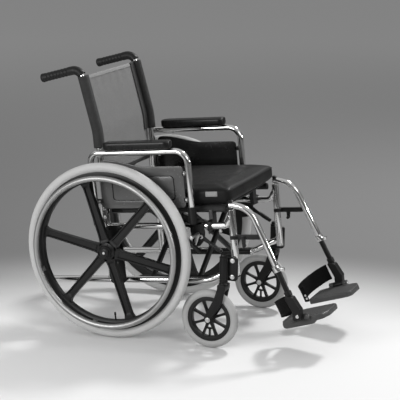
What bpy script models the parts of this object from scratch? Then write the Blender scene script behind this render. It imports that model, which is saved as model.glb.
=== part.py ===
"""Folding wheelchair with spoked rear wheels, casters, swing-away hangers and lift-off armrests.

Metres, +Z up. The chair faces -Y, its left side is +X. The side frames are laid out in a
datum that leans back by FRAME_TILT about the rear axle line: there a point is (x, a, h), with
a measured forwards and h upwards from the axle. Wheels and casters are laid out upright.
Every piece is drawn for the left side, and the right side is its mirror image.
"""

import math

import bmesh
import bpy
from mathutils import Matrix, Vector

# Overall stance
FRAME_TILT = math.radians(6.3)
FRAME_HALF = 0.214
RUN_GAP = 0.0005
SEAT_GAP = 0.0003

# Side frame
TUBE_R = 0.01125
POST_R = 0.0125
LOWER_RAIL_H = -0.118
UPPER_RAIL_H = 0.070
LOWER_RAIL_TAIL = -0.285
REAR_POST_A = -0.030
FRONT_POST_A = 0.436
FRONT_POST_TOP = 0.1255
FRONT_POST_FOOT = -0.100
RAIL_KICK = 0.043
RAIL_KICK_RUN = 0.101
REAR_POST_TOP = 0.150
HANGER_PIN_R = 0.0062
HANGER_PIN_DEPTH = 0.026
GUIDE_A = 0.343
GUIDE_RUN = 0.028

# Back canes and push handles
CANE_R = 0.0110
CANE_SIDES = 10
CANE_PLUG_R = 0.0088
CANE_PLUG = 0.055
CANE_BEND_H = 0.400
CANE_LEAN = math.radians(10)
CANE_TOP_H = 0.618
HANDLE_RUN = 0.150
HANDLE_BEND = 0.034
CANE_CURVE = 0.25
CANE_STEP = math.radians(12)
GRIP_R = 0.0150
GRIP_WALL = 0.003
GRIP_BEND_STEPS = 2
GRIP_RIDGE = 0.0010
GRIP_RIDGES = 4

# Cross brace and seat rails
BRACE_INSET = 0.024
BRACE_PIVOT_X = FRAME_HALF - BRACE_INSET
SEAT_RAIL_H = 0.122
BRACE_TUBE_R = 0.0095
BRACE_PIN_R = 0.0045
BRACE_BASE_START = 0.070
BRACE_BASE_END = 0.330
BRACE_TUBE_REAR = 0.112
BRACE_TUBE_FRONT = 0.288
BRACE_TUBE_STEP = 0.0196
LUG_THICK = 0.006
SEAT_RAIL_START = -0.012
SEAT_RAIL_END = 0.414
SEAT_RAIL_R = 0.0110
BOLT_R = 0.0040
BOLT_HEAD_R = 0.0075
BOLT_HEAD = 0.004

# Seat and back
SLING_THICK = 0.006
CUSHION_OVERHANG = 0.004
CUSHION_HALF = FRAME_HALF + CUSHION_OVERHANG
CUSHION_REAR = 0.006
CUSHION_FRONT = 0.433
CUSHION_TOP = 0.199
CUSHION_UNDERCUT = 0.017
BACK_FOOT_H = 0.235
BACK_SLEEVE_H = 0.345
BACK_HEAD_H = 0.584
BACK_THICK = 0.016
SLEEVE_R = 0.0152

# Armrests
ARM_OUTSET = 0.029
ARM_HALF = FRAME_HALF + ARM_OUTSET
ARM_TUBE_R = 0.0110
ARM_TOP_H = 0.330
ARM_REAR_A = -0.052
ARM_FRONT_A = 0.307
ARM_FRONT_BEND = 0.044
ARM_REAR_BEND = 0.030
ARM_FOOT_H = 0.094
PAD_REAR = 0.004
PAD_LENGTH = 0.248
PAD_WIDTH = 0.050
PAD_THICK = 0.028
SOCKET_R = 0.0152
SOCKET_FOOT = 0.0835
SOCKET_TOP = 0.140
SOCKET_BASE = 0.009
PANEL_REAR = -0.024
PANEL_FRONT = 0.288
PANEL_FOOT = 0.138
PANEL_CLEAR = 0.013
PANEL_HUMP = 0.026
PANEL_TOP = ARM_TOP_H - ARM_TUBE_R - PANEL_CLEAR - PANEL_HUMP
PANEL_HUMP_RUN = 0.170
PANEL_HUMP_STEPS = 6
PANEL_LUG = 0.008
PANEL_LUG_IN = 0.026
PANEL_THICK = 0.004
PANEL_INSET = 0.031
PANEL_GROOVE = 0.0050
PANEL_GROOVE_DEPTH = 0.0015
PANEL_CORNER = 0.014

# Rear wheels
WHEEL_R = 0.305
WHEEL_SIDES = 32
WHEEL_OUTSET = 0.070
WHEEL_HALF = FRAME_HALF + WHEEL_OUTSET
TYRE_R = 0.0172
RIM_WIDTH = 0.025
RIM_INNER = 0.243
RIM_LIP = 0.0015
SPOKES = 6
SPOKE_TURN = math.radians(10)
SPOKE_ROOT = 0.030
SPOKE_TIP = 0.025
SPOKE_THICK = 0.020
SPOKE_RIB = 0.0045
SPOKE_CHANNEL = 0.006
HUB_R = 0.030
HUB_HALF = 0.0265
HUB_BEARING_R = 0.020
HANDRIM_R = 0.2574
HANDRIM_TUBE_R = 0.0095
HANDRIM_OFFSET = 0.038
HANDRIM_TAB = 0.007
AXLE_R = 0.0060
AXLE_CAP_R = 0.0160
AXLE_CAP = 0.008
PLATE_THICK = 0.0060
PLATE_HALF = 0.030
PLATE_HOLE_R = 0.0064
PLATE_HOLE_STEP = 0.028
SLEEVE_OUT_R = 0.0125

# Casters
CASTER_R = 0.1016
CASTER_SIDES = 20
CASTER_OUTSET = 0.034
CASTER_HALF = FRAME_HALF + CASTER_OUTSET
CASTER_SETBACK = 0.03263
CASTER_TRAIL = 0.047
CASTER_TYRE_R = 0.0140
CASTER_RIM_INNER = 0.062
CASTER_HUB_R = 0.017
CASTER_HUB_HALF = 0.0150
CASTER_SPOKES = 8
CASTER_SPOKE = 0.0080
CASTER_AXLE_R = 0.0040
FORK_HALF = 0.0190
FORK_THICK = 0.0045
CROWN_FOOT = 0.207
CROWN_TOP = 0.2325
STEM_R = 0.0062
STEM_TOP = 0.332
HOUSING_R = 0.0145
HOUSING_FOOT = 0.2340
HOUSING_TOP = 0.322

# Hangers and footrests
HANGER_R = 0.0110
HANGER_TOP_H = 0.1395
HANGER_DROP = math.radians(68)
HANGER_FALL = math.radians(12)
HANGER_KNEE_A = 0.503
HANGER_BEND = 0.080
HANGER_END_H = -0.083
LEG_SPLAY = 0.015
HANGER_BAR_H = 0.031
HANGER_BAR_THICK = 0.012
EXTENSION_R = 0.0092
EXTENSION_PLUG = 0.110
EXTENSION_STROKE = 0.040
BLOCK_TOP_H = -0.160
BLOCK_FOOT_H = -0.226
BLOCK_HALF = 0.0155
PLATE_PITCH = math.radians(12)
FLIP_INSET = 0.015
FLIP_X = FRAME_HALF + LEG_SPLAY - FLIP_INSET
FLIP_A = 0.645
FLIP_H = -0.243
FLIP_PIN_R = 0.0050
FLIP_BARREL_R = 0.0105
FLIP_BARREL = 0.036
FOOTPLATE_EDGE = 0.006
FOOTPLATE_WIDTH = 0.136
FOOTPLATE_INNER = FLIP_X - FOOTPLATE_EDGE - FOOTPLATE_WIDTH
FOOTPLATE_HEEL_RUN = 0.068
FOOTPLATE_TOE_RUN = 0.080
FOOTPLATE_DROP = 0.004
FOOTPLATE_THICK = 0.014
FOOTPLATE_SKIN = 0.004
FOOTPLATE_WALL = 0.005
HEEL_BAND = 0.044
HEEL_SAG = 0.045
HEEL_LIFT = 0.011
HEEL_RISE = 0.040
HEEL_OUTSET = 0.008
HEEL_SETBACK = 0.041
HEEL_LEG_GAP = 0.014
HEEL_STEPS = 7
HEEL_THICK = 0.0035
LATCH_R = 0.0045

# Wheel locks
LOCK_PIVOT = (0.327, 0.036)
LOCK_REACH = 0.088
LOCK_DROOP = math.radians(35)
LOCK_PLATE = 0.0055
SHOE_PIVOT = (0.303, 0.014)
SHOE_AT = (0.3185, 0.047)
SHOE_R = 0.0058

# Finishes: colour, roughness, metallic
FINISHES = {
    "chrome": ((0.78, 0.79, 0.80), 0.12, 1.0),
    "black_paint": ((0.02, 0.02, 0.021), 0.40, 0.0),
    "black_plastic": ((0.025, 0.025, 0.026), 0.45, 0.0),
    "grip_rubber": ((0.03, 0.03, 0.032), 0.70, 0.0),
    "grey_tyre": ((0.50, 0.50, 0.49), 0.75, 0.0),
    "handrim_alloy": ((0.66, 0.67, 0.68), 0.30, 1.0),
    "steel": ((0.55, 0.56, 0.57), 0.30, 1.0),
    "seat_vinyl": ((0.03, 0.03, 0.032), 0.50, 0.0),
    "back_cloth": ((0.13, 0.13, 0.135), 0.80, 0.0),
    "side_panel_plastic": ((0.035, 0.035, 0.037), 0.35, 0.0),
    "webbing": ((0.02, 0.02, 0.02), 0.85, 0.0),
}

TILT = Matrix.Translation((0, 0, WHEEL_R)) @ Matrix.Rotation(-FRAME_TILT, 4, "X")
UPRIGHT = Matrix.Identity(4)


def clear_scene():
    for obj in list(bpy.data.objects):
        bpy.data.objects.remove(obj, do_unlink=True)


def finish_of(name):
    """The Principled material of one finish, made once."""
    if name in bpy.data.materials:
        return bpy.data.materials[name]
    colour, roughness, metallic = FINISHES[name]
    material = bpy.data.materials.new(name)
    material.use_nodes = True
    shader = material.node_tree.nodes["Principled BSDF"]
    shader.inputs["Base Color"].default_value = (*colour, 1)
    shader.inputs["Roughness"].default_value = roughness
    shader.inputs["Metallic"].default_value = metallic
    material.diffuse_color = (*colour, 1)
    return material


def at(x, a, h):
    """A point of the leaning frame datum, with a forwards and h upwards from the axle."""
    return Vector((x, -a, h))


# Shapes


def rounded(points, radii, step=math.radians(15)):
    """The path through the points with an arc of the given radius at each inner corner."""
    path = [points[0].copy()]
    if not hasattr(radii, "__len__"):
        radii = [radii] * (len(points) - 2)
    for before, corner, after, radius in zip(points, points[1:], points[2:], radii):
        back = (before - corner).normalized()
        ahead = (after - corner).normalized()
        turn = math.pi - back.angle(ahead)
        start = corner + back * radius * math.tan(turn / 2)
        end = corner + ahead * radius * math.tan(turn / 2)
        centre = corner + (back + ahead).normalized() * radius / math.cos(turn / 2)
        axis = (start - centre).cross(end - centre).normalized()
        count = max(1, math.ceil(turn / step))
        for i in range(count + 1):
            spoke = Matrix.Rotation(turn * i / count, 3, axis) @ (start - centre)
            path.append(centre + spoke)
    path.append(points[-1].copy())
    return path


def swept(path, outline, up, swell=None):
    """A closed bar: the outline, as (side, up) offsets, carried along the path.

    swell holds one factor of the outline's size for each point of the path.
    """
    bm = bmesh.new()
    rings = []
    count = len(path)
    for i, point in enumerate(path):
        ahead = path[min(i + 1, count - 1)] - path[max(i - 1, 0)]
        ahead.normalize()
        side = ahead.cross(up).normalized()
        over = side.cross(ahead).normalized()
        size = swell[i] if swell else 1.0
        rings.append([bm.verts.new(point + (side * u + over * v) * size) for u, v in outline])
    for lower, upper in zip(rings, rings[1:]):
        for j in range(len(outline)):
            k = (j + 1) % len(outline)
            bm.faces.new((lower[j], lower[k], upper[k], upper[j]))
    bm.faces.new(list(reversed(rings[0])))
    bm.faces.new(rings[-1])
    bmesh.ops.recalc_face_normals(bm, faces=bm.faces[:])
    return bm


def circle(radius, sides, start=0.0):
    turns = [start + math.tau * i / sides for i in range(sides)]
    return [(radius * math.cos(t), radius * math.sin(t)) for t in turns]


def tube(path, radius, sides=10, up=Vector((1, 0, 0)), swell=None):
    """A round bar along a path that never runs along up."""
    return swept(path, circle(radius, sides, math.pi / sides), up, swell)


def rod(start, end, radius, sides=10):
    along = (end - start).normalized()
    up = Vector((0, 0, 1)) if abs(along.z) < 0.9 else Vector((1, 0, 0))
    return tube([start, end], radius, sides, up)


def turned(profile, sides, ring=False, start=0.0):
    """A body of revolution about X from (x, radius) points; a ring's profile closes on itself."""
    bm = bmesh.new()
    rows = []
    for x, radius in profile:
        if radius < 1e-7:
            rows.append([bm.verts.new((x, 0, 0))])
            continue
        turns = [start + math.tau * i / sides for i in range(sides)]
        row = [bm.verts.new((x, radius * math.cos(t), radius * math.sin(t))) for t in turns]
        rows.append(row)
    pairs = list(zip(rows, rows[1:]))
    if ring:
        pairs.append((rows[-1], rows[0]))
    for first, second in pairs:
        for i in range(sides):
            j = (i + 1) % sides
            corners = [first[i % len(first)], first[j % len(first)]]
            corners += [second[j % len(second)], second[i % len(second)]]
            faces = list(dict.fromkeys(corners))
            if len(faces) > 2:
                bm.faces.new(faces)
    bmesh.ops.recalc_face_normals(bm, faces=bm.faces[:])
    return bm


def slab(outline, x0, x1):
    """A plate between two x planes whose outline is a list of (y, z) points."""
    bm = bmesh.new()
    near = [bm.verts.new((x0, y, z)) for y, z in outline]
    far = [bm.verts.new((x1, y, z)) for y, z in outline]
    count = len(outline)
    for i in range(count):
        j = (i + 1) % count
        bm.faces.new((near[i], near[j], far[j], far[i]))
    bm.faces.new(list(reversed(near)))
    bm.faces.new(far)
    bmesh.ops.recalc_face_normals(bm, faces=bm.faces[:])
    return bm


def block(low, high):
    outline = [(low[1], low[2]), (high[1], low[2]), (high[1], high[2]), (low[1], high[2])]
    return slab(outline, low[0], high[0])


def round_rect(y0, y1, z0, z1, radius, steps=3):
    """A rectangle's outline with its corners rounded."""
    outline = []
    corners = ((y1, z1, 0), (y0, z1, 1), (y0, z0, 2), (y1, z0, 3))
    for y, z, quarter in corners:
        cy = y - math.copysign(radius, y - (y0 + y1) / 2)
        cz = z - math.copysign(radius, z - (z0 + z1) / 2)
        for i in range(steps + 1):
            t = math.pi / 2 * (quarter + i / steps)
            outline.append((cy + radius * math.cos(t), cz + radius * math.sin(t)))
    return outline


def framed(outline):
    """An outline given as (a, h) points, turned into the (y, z) of the frame datum."""
    return [(-a, h) for a, h in outline]


def moved(bm, offset=(0, 0, 0), turn=None):
    matrix = Matrix.Translation(Vector(offset))
    if turn is not None:
        matrix = matrix @ turn
    bmesh.ops.transform(bm, matrix=matrix, verts=bm.verts[:])
    return bm


def helper(bm):
    mesh = bpy.data.meshes.new("helper")
    bm.to_mesh(mesh)
    bm.free()
    obj = bpy.data.objects.new("helper", mesh)
    bpy.context.scene.collection.objects.link(obj)
    return obj


def built(base, joins=(), cuts=()):
    """One body: the base joined with each of the joins, then cut by each of the cuts."""
    target = helper(base)
    tools = []
    for operation, shapes in (("UNION", joins), ("DIFFERENCE", cuts)):
        for shape in shapes:
            tools.append(helper(shape))
            modifier = target.modifiers.new(operation.lower(), "BOOLEAN")
            modifier.operation = operation
            modifier.solver = "EXACT"
            modifier.object = tools[-1]
    bpy.context.view_layer.update()
    graph = bpy.context.evaluated_depsgraph_get()
    result = bpy.data.meshes.new_from_object(target.evaluated_get(graph))
    bm = bmesh.new()
    bm.from_mesh(result)
    for obj in (target, *tools):
        mesh = obj.data
        bpy.data.objects.remove(obj, do_unlink=True)
        bpy.data.meshes.remove(mesh)
    bpy.data.meshes.remove(result)
    return bm


# Placing


def pivot(name, parent, spot, datum=UPRIGHT):
    """An empty on a joint axis, at a spot of the datum, that carries what moves there."""
    empty = bpy.data.objects.new(name, None)
    empty.empty_display_size = 0.03
    bpy.context.scene.collection.objects.link(empty)
    empty.matrix_world = datum @ Matrix.Translation(Vector(spot))
    if parent is not None:
        empty.parent = parent
        empty.matrix_parent_inverse = parent.matrix_world.inverted()
    bpy.context.view_layer.update()
    return empty


def piece(name, bm, finish, holder, datum=UPRIGHT, side=1, smooth=math.radians(32)):
    """The named object: the left-hand shape, mirrored for side -1, hung on its holder."""
    bmesh.ops.transform(bm, matrix=datum, verts=bm.verts[:])
    if side < 0:
        bmesh.ops.scale(bm, vec=(-1, 1, 1), verts=bm.verts[:])
        bmesh.ops.reverse_faces(bm, faces=bm.faces[:])
    bmesh.ops.transform(bm, matrix=holder.matrix_world.inverted(), verts=bm.verts[:])
    mesh = bpy.data.meshes.new(name)
    bm.to_mesh(mesh)
    bm.free()
    mesh.materials.append(finish_of(finish))
    mesh.shade_smooth()
    mesh.set_sharp_from_angle(angle=smooth)
    obj = bpy.data.objects.new(name, mesh)
    bpy.context.scene.collection.objects.link(obj)
    obj.parent = holder
    return obj


# Side frames


def side_frame():
    x = FRAME_HALF
    kick_start = FRONT_POST_A - RAIL_KICK_RUN
    lower = rounded(
        [
            at(x, LOWER_RAIL_TAIL, LOWER_RAIL_H),
            at(x, kick_start, LOWER_RAIL_H),
            at(x, FRONT_POST_A, LOWER_RAIL_H + RAIL_KICK),
        ],
        0.080,
    )
    upper = rounded(
        [
            at(x, REAR_POST_A, UPPER_RAIL_H),
            at(x, FRONT_POST_A - 0.044, UPPER_RAIL_H),
            at(x, FRONT_POST_A, UPPER_RAIL_H + 0.040),
        ],
        0.040,
    )
    front = rod(at(x, FRONT_POST_A, FRONT_POST_FOOT), at(x, FRONT_POST_A, FRONT_POST_TOP), POST_R, 12)
    rear = rod(at(x, REAR_POST_A, LOWER_RAIL_H), at(x, REAR_POST_A, REAR_POST_TOP), POST_R, 12)
    socket_foot = at(ARM_HALF, ARM_REAR_A, SOCKET_FOOT - 0.004)
    socket = rod(socket_foot, at(ARM_HALF, ARM_REAR_A, SOCKET_TOP), SOCKET_R - 0.0012, 12)
    web_h = SOCKET_FOOT + 0.012
    web = rod(at(x, REAR_POST_A, web_h), at(ARM_HALF - 0.004, ARM_REAR_A + 0.003, web_h), 0.008, 8)
    joins = [tube(upper, TUBE_R), front, rear, socket, web]
    for a in (BRACE_BASE_START, BRACE_BASE_END):
        joins.append(brace_lug(a))
    reach = ARM_TUBE_R + RUN_GAP
    cuts = [
        rod(
            at(x, FRONT_POST_A, FRONT_POST_TOP - HANGER_PIN_DEPTH - 0.004),
            at(x, FRONT_POST_A, FRONT_POST_TOP + 0.02),
            HANGER_PIN_R + RUN_GAP,
            12,
        ),
        rod(
            at(x, REAR_POST_A, REAR_POST_TOP - CANE_PLUG - 0.002),
            at(x, REAR_POST_A, REAR_POST_TOP + 0.02),
            CANE_PLUG_R + SEAT_GAP,
            12,
        ),
        rod(
            at(ARM_HALF, ARM_REAR_A, ARM_FOOT_H - 0.002),
            at(ARM_HALF, ARM_REAR_A, SOCKET_TOP + 0.02),
            reach,
            12,
        ),
    ]
    return built(tube(lower, TUBE_R), joins, cuts)


def brace_lug(a):
    """An ear on the lower rail with the stub pin that the brace's base tube turns on."""
    outward = 1 if a > (BRACE_BASE_START + BRACE_BASE_END) / 2 else -1
    a0 = a + outward * RUN_GAP
    a1 = a0 + outward * LUG_THICK
    low = (BRACE_PIVOT_X - 0.009, -max(a0, a1), LOWER_RAIL_H - 0.009)
    high = (FRAME_HALF, -min(a0, a1), LOWER_RAIL_H + 0.009)
    pin_tip = a0 - outward * 0.018
    pin = rod(at(BRACE_PIVOT_X, pin_tip, LOWER_RAIL_H), at(BRACE_PIVOT_X, a1, LOWER_RAIL_H), BRACE_PIN_R, 8)
    return built(block(low, high), [pin])


def cane_line():
    """The cane's centre line from the rear post to the end of the push handle."""
    x = FRAME_HALF
    top_a = REAR_POST_A - math.tan(CANE_LEAN) * (CANE_TOP_H - CANE_BEND_H)
    end_a = top_a - HANDLE_RUN * math.cos(CANE_LEAN)
    end_h = CANE_TOP_H - HANDLE_RUN * math.sin(CANE_LEAN)
    corners = [
        at(x, REAR_POST_A, REAR_POST_TOP + SEAT_GAP),
        at(x, REAR_POST_A, CANE_BEND_H),
        at(x, top_a, CANE_TOP_H),
        at(x, end_a, end_h),
    ]
    return rounded(corners, [CANE_CURVE, HANDLE_BEND], CANE_STEP)


def back_cane():
    x = FRAME_HALF
    plug_foot = at(x, REAR_POST_A, REAR_POST_TOP - CANE_PLUG)
    plug = rod(plug_foot, at(x, REAR_POST_A, REAR_POST_TOP + 0.02), CANE_PLUG_R, 12)
    return built(tube(cane_line(), CANE_R, CANE_SIDES), [plug])


def push_grip():
    """The rubber grip, which follows the cane round its bend and closes over the handle's end."""
    line = cane_line()
    bend = line[-2 - math.ceil(math.pi / 2 / CANE_STEP) + GRIP_BEND_STEPS:-1]
    start, end = bend[-1], line[-1]
    along = (end - start).normalized()
    path, swell = list(bend), [1.0] * len(bend)
    pitch = (end - start).length / (GRIP_RIDGES + 0.5)
    for i in range(GRIP_RIDGES):
        for share, size in ((0.6, 1.0 - GRIP_RIDGE / GRIP_R), (1.0, 1.0)):
            path.append(start + along * pitch * (i + share))
            swell.append(size)
    for run, size in ((0, 1.0), (GRIP_WALL + 0.002, 0.92), (GRIP_WALL + 0.005, 0.60)):
        path.append(end + along * run)
        swell.append(size)
    bore = line[line.index(bend[0]) - 2:] + [end + along * SEAT_GAP]
    return built(tube(path, GRIP_R, CANE_SIDES, swell=swell), [], [tube(bore, CANE_R + SEAT_GAP, CANE_SIDES)])


def axle_plate():
    """A bolted plate with a row of axle holes and the sleeve that takes the axle."""
    x0 = FRAME_HALF + POST_R + SEAT_GAP
    x1 = x0 + PLATE_THICK
    top = SOCKET_FOOT - 0.008
    outline = round_rect(-PLATE_HALF, PLATE_HALF, LOWER_RAIL_H - 0.010, top, 0.014)
    sleeve_end = WHEEL_HALF - HUB_HALF - 0.0008
    joins = [rod(Vector((x0 + 0.001, 0, 0)), Vector((sleeve_end, 0, 0)), SLEEVE_OUT_R, 12)]
    for h in (LOWER_RAIL_H, UPPER_RAIL_H - 0.006):
        for y in (-0.018, 0.018):
            joins.append(rod(Vector((x1 - 0.002, y, h)), Vector((x1 + 0.004, y, h)), 0.0055, 6))
    cuts = []
    for step in (-3, -2, -1, 1):
        z = step * PLATE_HOLE_STEP
        cuts.append(rod(Vector((x0 - 0.01, 0, z)), Vector((x1 + 0.01, 0, z)), PLATE_HOLE_R, 8))
    cuts.append(rod(Vector((x0 - 0.01, 0, 0)), Vector((sleeve_end + 0.01, 0, 0)), AXLE_R + RUN_GAP, 10))
    return built(slab(outline, x0, x1), joins, cuts)


def arm_socket():
    """The front socket: a sleeve on a foot that is clamped on top of the upper rail."""
    base_low = (FRAME_HALF - 0.009, -ARM_FRONT_A - SOCKET_R, SOCKET_FOOT)
    base_high = (ARM_HALF, -ARM_FRONT_A + SOCKET_R, SOCKET_FOOT + SOCKET_BASE)
    sleeve = rod(
        at(ARM_HALF, ARM_FRONT_A, SOCKET_FOOT),
        at(ARM_HALF, ARM_FRONT_A, SOCKET_TOP),
        SOCKET_R,
        14,
    )
    bore = rod(
        at(ARM_HALF, ARM_FRONT_A, ARM_FOOT_H - 0.001),
        at(ARM_HALF, ARM_FRONT_A, SOCKET_TOP + 0.02),
        ARM_TUBE_R + RUN_GAP,
        14,
    )
    return built(block(base_low, base_high), [sleeve], [bore])


def rail_guide():
    """A plastic saddle on the upper rail that the seat rail drops into."""
    a0 = GUIDE_A
    a1 = a0 + GUIDE_RUN
    outline_low = (BRACE_PIVOT_X - 0.016, -a1, UPPER_RAIL_H - 0.016)
    outline_high = (FRAME_HALF + 0.016, -a0, UPPER_RAIL_H + 0.017)
    cheeks = block(
        (BRACE_PIVOT_X - 0.016, -a1, UPPER_RAIL_H),
        (BRACE_PIVOT_X + 0.0155, -a0, SEAT_RAIL_H + 0.004),
    )
    hole_ends = [at(FRAME_HALF, a, UPPER_RAIL_H) for a in (a0 - 0.01, a1 + 0.01)]
    rail_hole = tube(hole_ends, TUBE_R + SEAT_GAP)
    reach = SEAT_RAIL_R + 0.001
    saddle = rod(at(BRACE_PIVOT_X, a0 - 0.01, SEAT_RAIL_H), at(BRACE_PIVOT_X, a1 + 0.01, SEAT_RAIL_H), reach, 12)
    mouth = block(
        (BRACE_PIVOT_X - reach, -a1 - 0.01, SEAT_RAIL_H),
        (BRACE_PIVOT_X + reach, -a0 + 0.01, SEAT_RAIL_H + 0.02),
    )
    return built(block(outline_low, outline_high), [cheeks], [rail_hole, saddle, mouth])


# Cross brace


def brace(rail_side, tube_places):
    """One half of the X: base tube at the lower pivot, two cross tubes and a seat rail.

    rail_side is the side of the seat rail; the base tube is on the other side.
    """
    base_x = -rail_side * BRACE_PIVOT_X
    rail_x = rail_side * BRACE_PIVOT_X
    base = rod(
        at(base_x, BRACE_BASE_START, LOWER_RAIL_H), at(base_x, BRACE_BASE_END, LOWER_RAIL_H), BRACE_TUBE_R + 0.0005
    )
    rail = rod(at(rail_x, SEAT_RAIL_START, SEAT_RAIL_H), at(rail_x, SEAT_RAIL_END, SEAT_RAIL_H), SEAT_RAIL_R)
    joins = [rail]
    for a in tube_places:
        joins.append(rod(at(base_x, a, LOWER_RAIL_H), at(rail_x, a, SEAT_RAIL_H), BRACE_TUBE_R))
    cuts = []
    for a, inward in ((BRACE_BASE_START, 1), (BRACE_BASE_END, -1)):
        start = at(base_x, a - inward * 0.01, LOWER_RAIL_H)
        end = at(base_x, a + inward * 0.020, LOWER_RAIL_H)
        cuts.append(rod(start, end, BRACE_PIN_R + RUN_GAP, 8))
    middle_h = (LOWER_RAIL_H + SEAT_RAIL_H) / 2
    for a in tube_places:
        cuts.append(rod(at(0, a - 0.02, middle_h), at(0, a + 0.02, middle_h), BOLT_R + RUN_GAP, 8))
    return built(base, joins, cuts)


def brace_bolt(a_rear, a_front):
    """The pivot bolt that joins two crossing tubes, with a head and a nut."""
    middle_h = (LOWER_RAIL_H + SEAT_RAIL_H) / 2
    start = a_rear - BRACE_TUBE_R - RUN_GAP
    end = a_front + BRACE_TUBE_R + RUN_GAP
    shank = rod(at(0, start - BOLT_HEAD, middle_h), at(0, end + BOLT_HEAD, middle_h), BOLT_R, 8)
    head = rod(at(0, start - BOLT_HEAD, middle_h), at(0, start, middle_h), BOLT_HEAD_R, 6)
    nut = rod(at(0, end, middle_h), at(0, end + BOLT_HEAD, middle_h), BOLT_HEAD_R, 6)
    return built(shank, [head, nut])


# Seat and back


def seat_sling():
    low_h = SEAT_RAIL_H + SEAT_RAIL_R + 0.0006
    half = BRACE_PIVOT_X + SEAT_RAIL_R
    return block((-half, -SEAT_RAIL_END + 0.004, low_h), (half, -SEAT_RAIL_START - 0.018, low_h + SLING_THICK))


def seat_cushion():
    """A thick pad whose underside draws in to the width between the posts."""
    foot = SEAT_RAIL_H + SEAT_RAIL_R + SLING_THICK + 0.001
    flare = foot + CUSHION_UNDERCUT
    inner = FRAME_HALF - POST_R - 0.002
    crown = 0.010
    levels = [
        (foot, inner, FRONT_POST_A - POST_R - 0.006, CUSHION_REAR + 0.006),
        (flare, CUSHION_HALF, CUSHION_FRONT, CUSHION_REAR),
        (CUSHION_TOP - crown, CUSHION_HALF, CUSHION_FRONT, CUSHION_REAR),
        (CUSHION_TOP, CUSHION_HALF - crown, CUSHION_FRONT - crown, CUSHION_REAR + crown),
    ]
    bm = bmesh.new()
    rows = []
    for h, half, front, rear in levels:
        outline = round_rect(-half, half, rear, front, 0.022, 2)
        rows.append([bm.verts.new((x, -a, h)) for x, a in outline])
    for lower, upper in zip(rows, rows[1:]):
        for i in range(len(lower)):
            j = (i + 1) % len(lower)
            bm.faces.new((lower[i], lower[j], upper[j], upper[i]))
    bm.faces.new(rows[0])
    bm.faces.new(rows[-1])
    bmesh.ops.recalc_face_normals(bm, faces=bm.faces[:])
    return bm


def cane_path(x, low, high):
    """The cane's line between two heights, above and below its bend."""
    lean = math.tan(CANE_LEAN)
    points = [at(x, REAR_POST_A, low), at(x, REAR_POST_A, CANE_BEND_H)]
    points.append(at(x, REAR_POST_A - lean * (high - CANE_BEND_H), high))
    return rounded(points, CANE_CURVE, CANE_STEP)


def back_upholstery():
    """The sling between the canes, with a sleeve round each cane."""
    middle = cane_path(0, BACK_FOOT_H, BACK_HEAD_H - 0.003)
    half = FRAME_HALF - CANE_R - 0.0014
    t = BACK_THICK / 2
    panel = swept(middle, [(-t, -half), (t, -half), (t, half), (-t, half)], Vector((1, 0, 0)))
    sleeves = []
    for side in (1, -1):
        sleeve = tube(cane_path(side * FRAME_HALF, BACK_SLEEVE_H, BACK_HEAD_H), SLEEVE_R, CANE_SIDES)
        bore = cane_path(side * FRAME_HALF, BACK_FOOT_H - 0.03, BACK_HEAD_H + 0.03)
        sleeves.append(built(sleeve, [], [tube(bore, CANE_R + 0.0006, CANE_SIDES)]))
    return built(panel, sleeves)


# Armrests


def arm_tube():
    x = ARM_HALF
    path = rounded(
        [
            at(x, ARM_REAR_A, ARM_FOOT_H),
            at(x, ARM_REAR_A, ARM_TOP_H),
            at(x, ARM_FRONT_A, ARM_TOP_H),
            at(x, ARM_FRONT_A, ARM_FOOT_H),
        ],
        [ARM_REAR_BEND, ARM_FRONT_BEND],
        math.radians(18),
    )
    return tube(path, ARM_TUBE_R)


def arm_pad():
    """A padded bar with round ends; its foot is hollowed where it sits on the tube."""
    foot = ARM_TOP_H + ARM_TUBE_R + SEAT_GAP
    half = PAD_WIDTH / 2
    crown = 0.007
    levels = [(foot, 0.002), (foot + 0.006, 0), (foot + PAD_THICK - crown, 0), (foot + PAD_THICK, crown)]
    bm = bmesh.new()
    rows = []
    for h, inset in levels:
        outline = round_rect(
            ARM_HALF - half + inset, ARM_HALF + half - inset,
            PAD_REAR + inset, PAD_REAR + PAD_LENGTH - inset, half * 0.72 - inset, 3,
        )
        rows.append([bm.verts.new((x, -a, h)) for x, a in outline])
    for lower, upper in zip(rows, rows[1:]):
        for i in range(len(lower)):
            j = (i + 1) % len(lower)
            bm.faces.new((lower[i], lower[j], upper[j], upper[i]))
    bm.faces.new(rows[0])
    bm.faces.new(rows[-1])
    bmesh.ops.recalc_face_normals(bm, faces=bm.faces[:])
    return bm


def panel_outline():
    """The panel's outline: a rounded rectangle whose top edge swells up towards the rear."""
    outline = round_rect(PANEL_REAR, PANEL_FRONT, PANEL_FOOT, PANEL_TOP, PANEL_CORNER)
    corner = PANEL_CORNER * 1.4
    swell = []
    for i in range(PANEL_HUMP_STEPS + 1):
        t = i / PANEL_HUMP_STEPS
        a = PANEL_REAR + corner + (PANEL_HUMP_RUN - corner) * (1 - t)
        swell.append((a, PANEL_TOP + PANEL_HUMP * (1 - math.cos(math.pi * t)) / 2))
    crown = PANEL_TOP + PANEL_HUMP
    for turn in (30, 60, 90):
        t = math.radians(turn)
        swell.append((PANEL_REAR + corner * (1 - math.sin(t)), crown - corner * (1 - math.cos(t))))
    steps = len(outline) // 4
    return outline[:steps] + swell + outline[2 * steps:]


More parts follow.
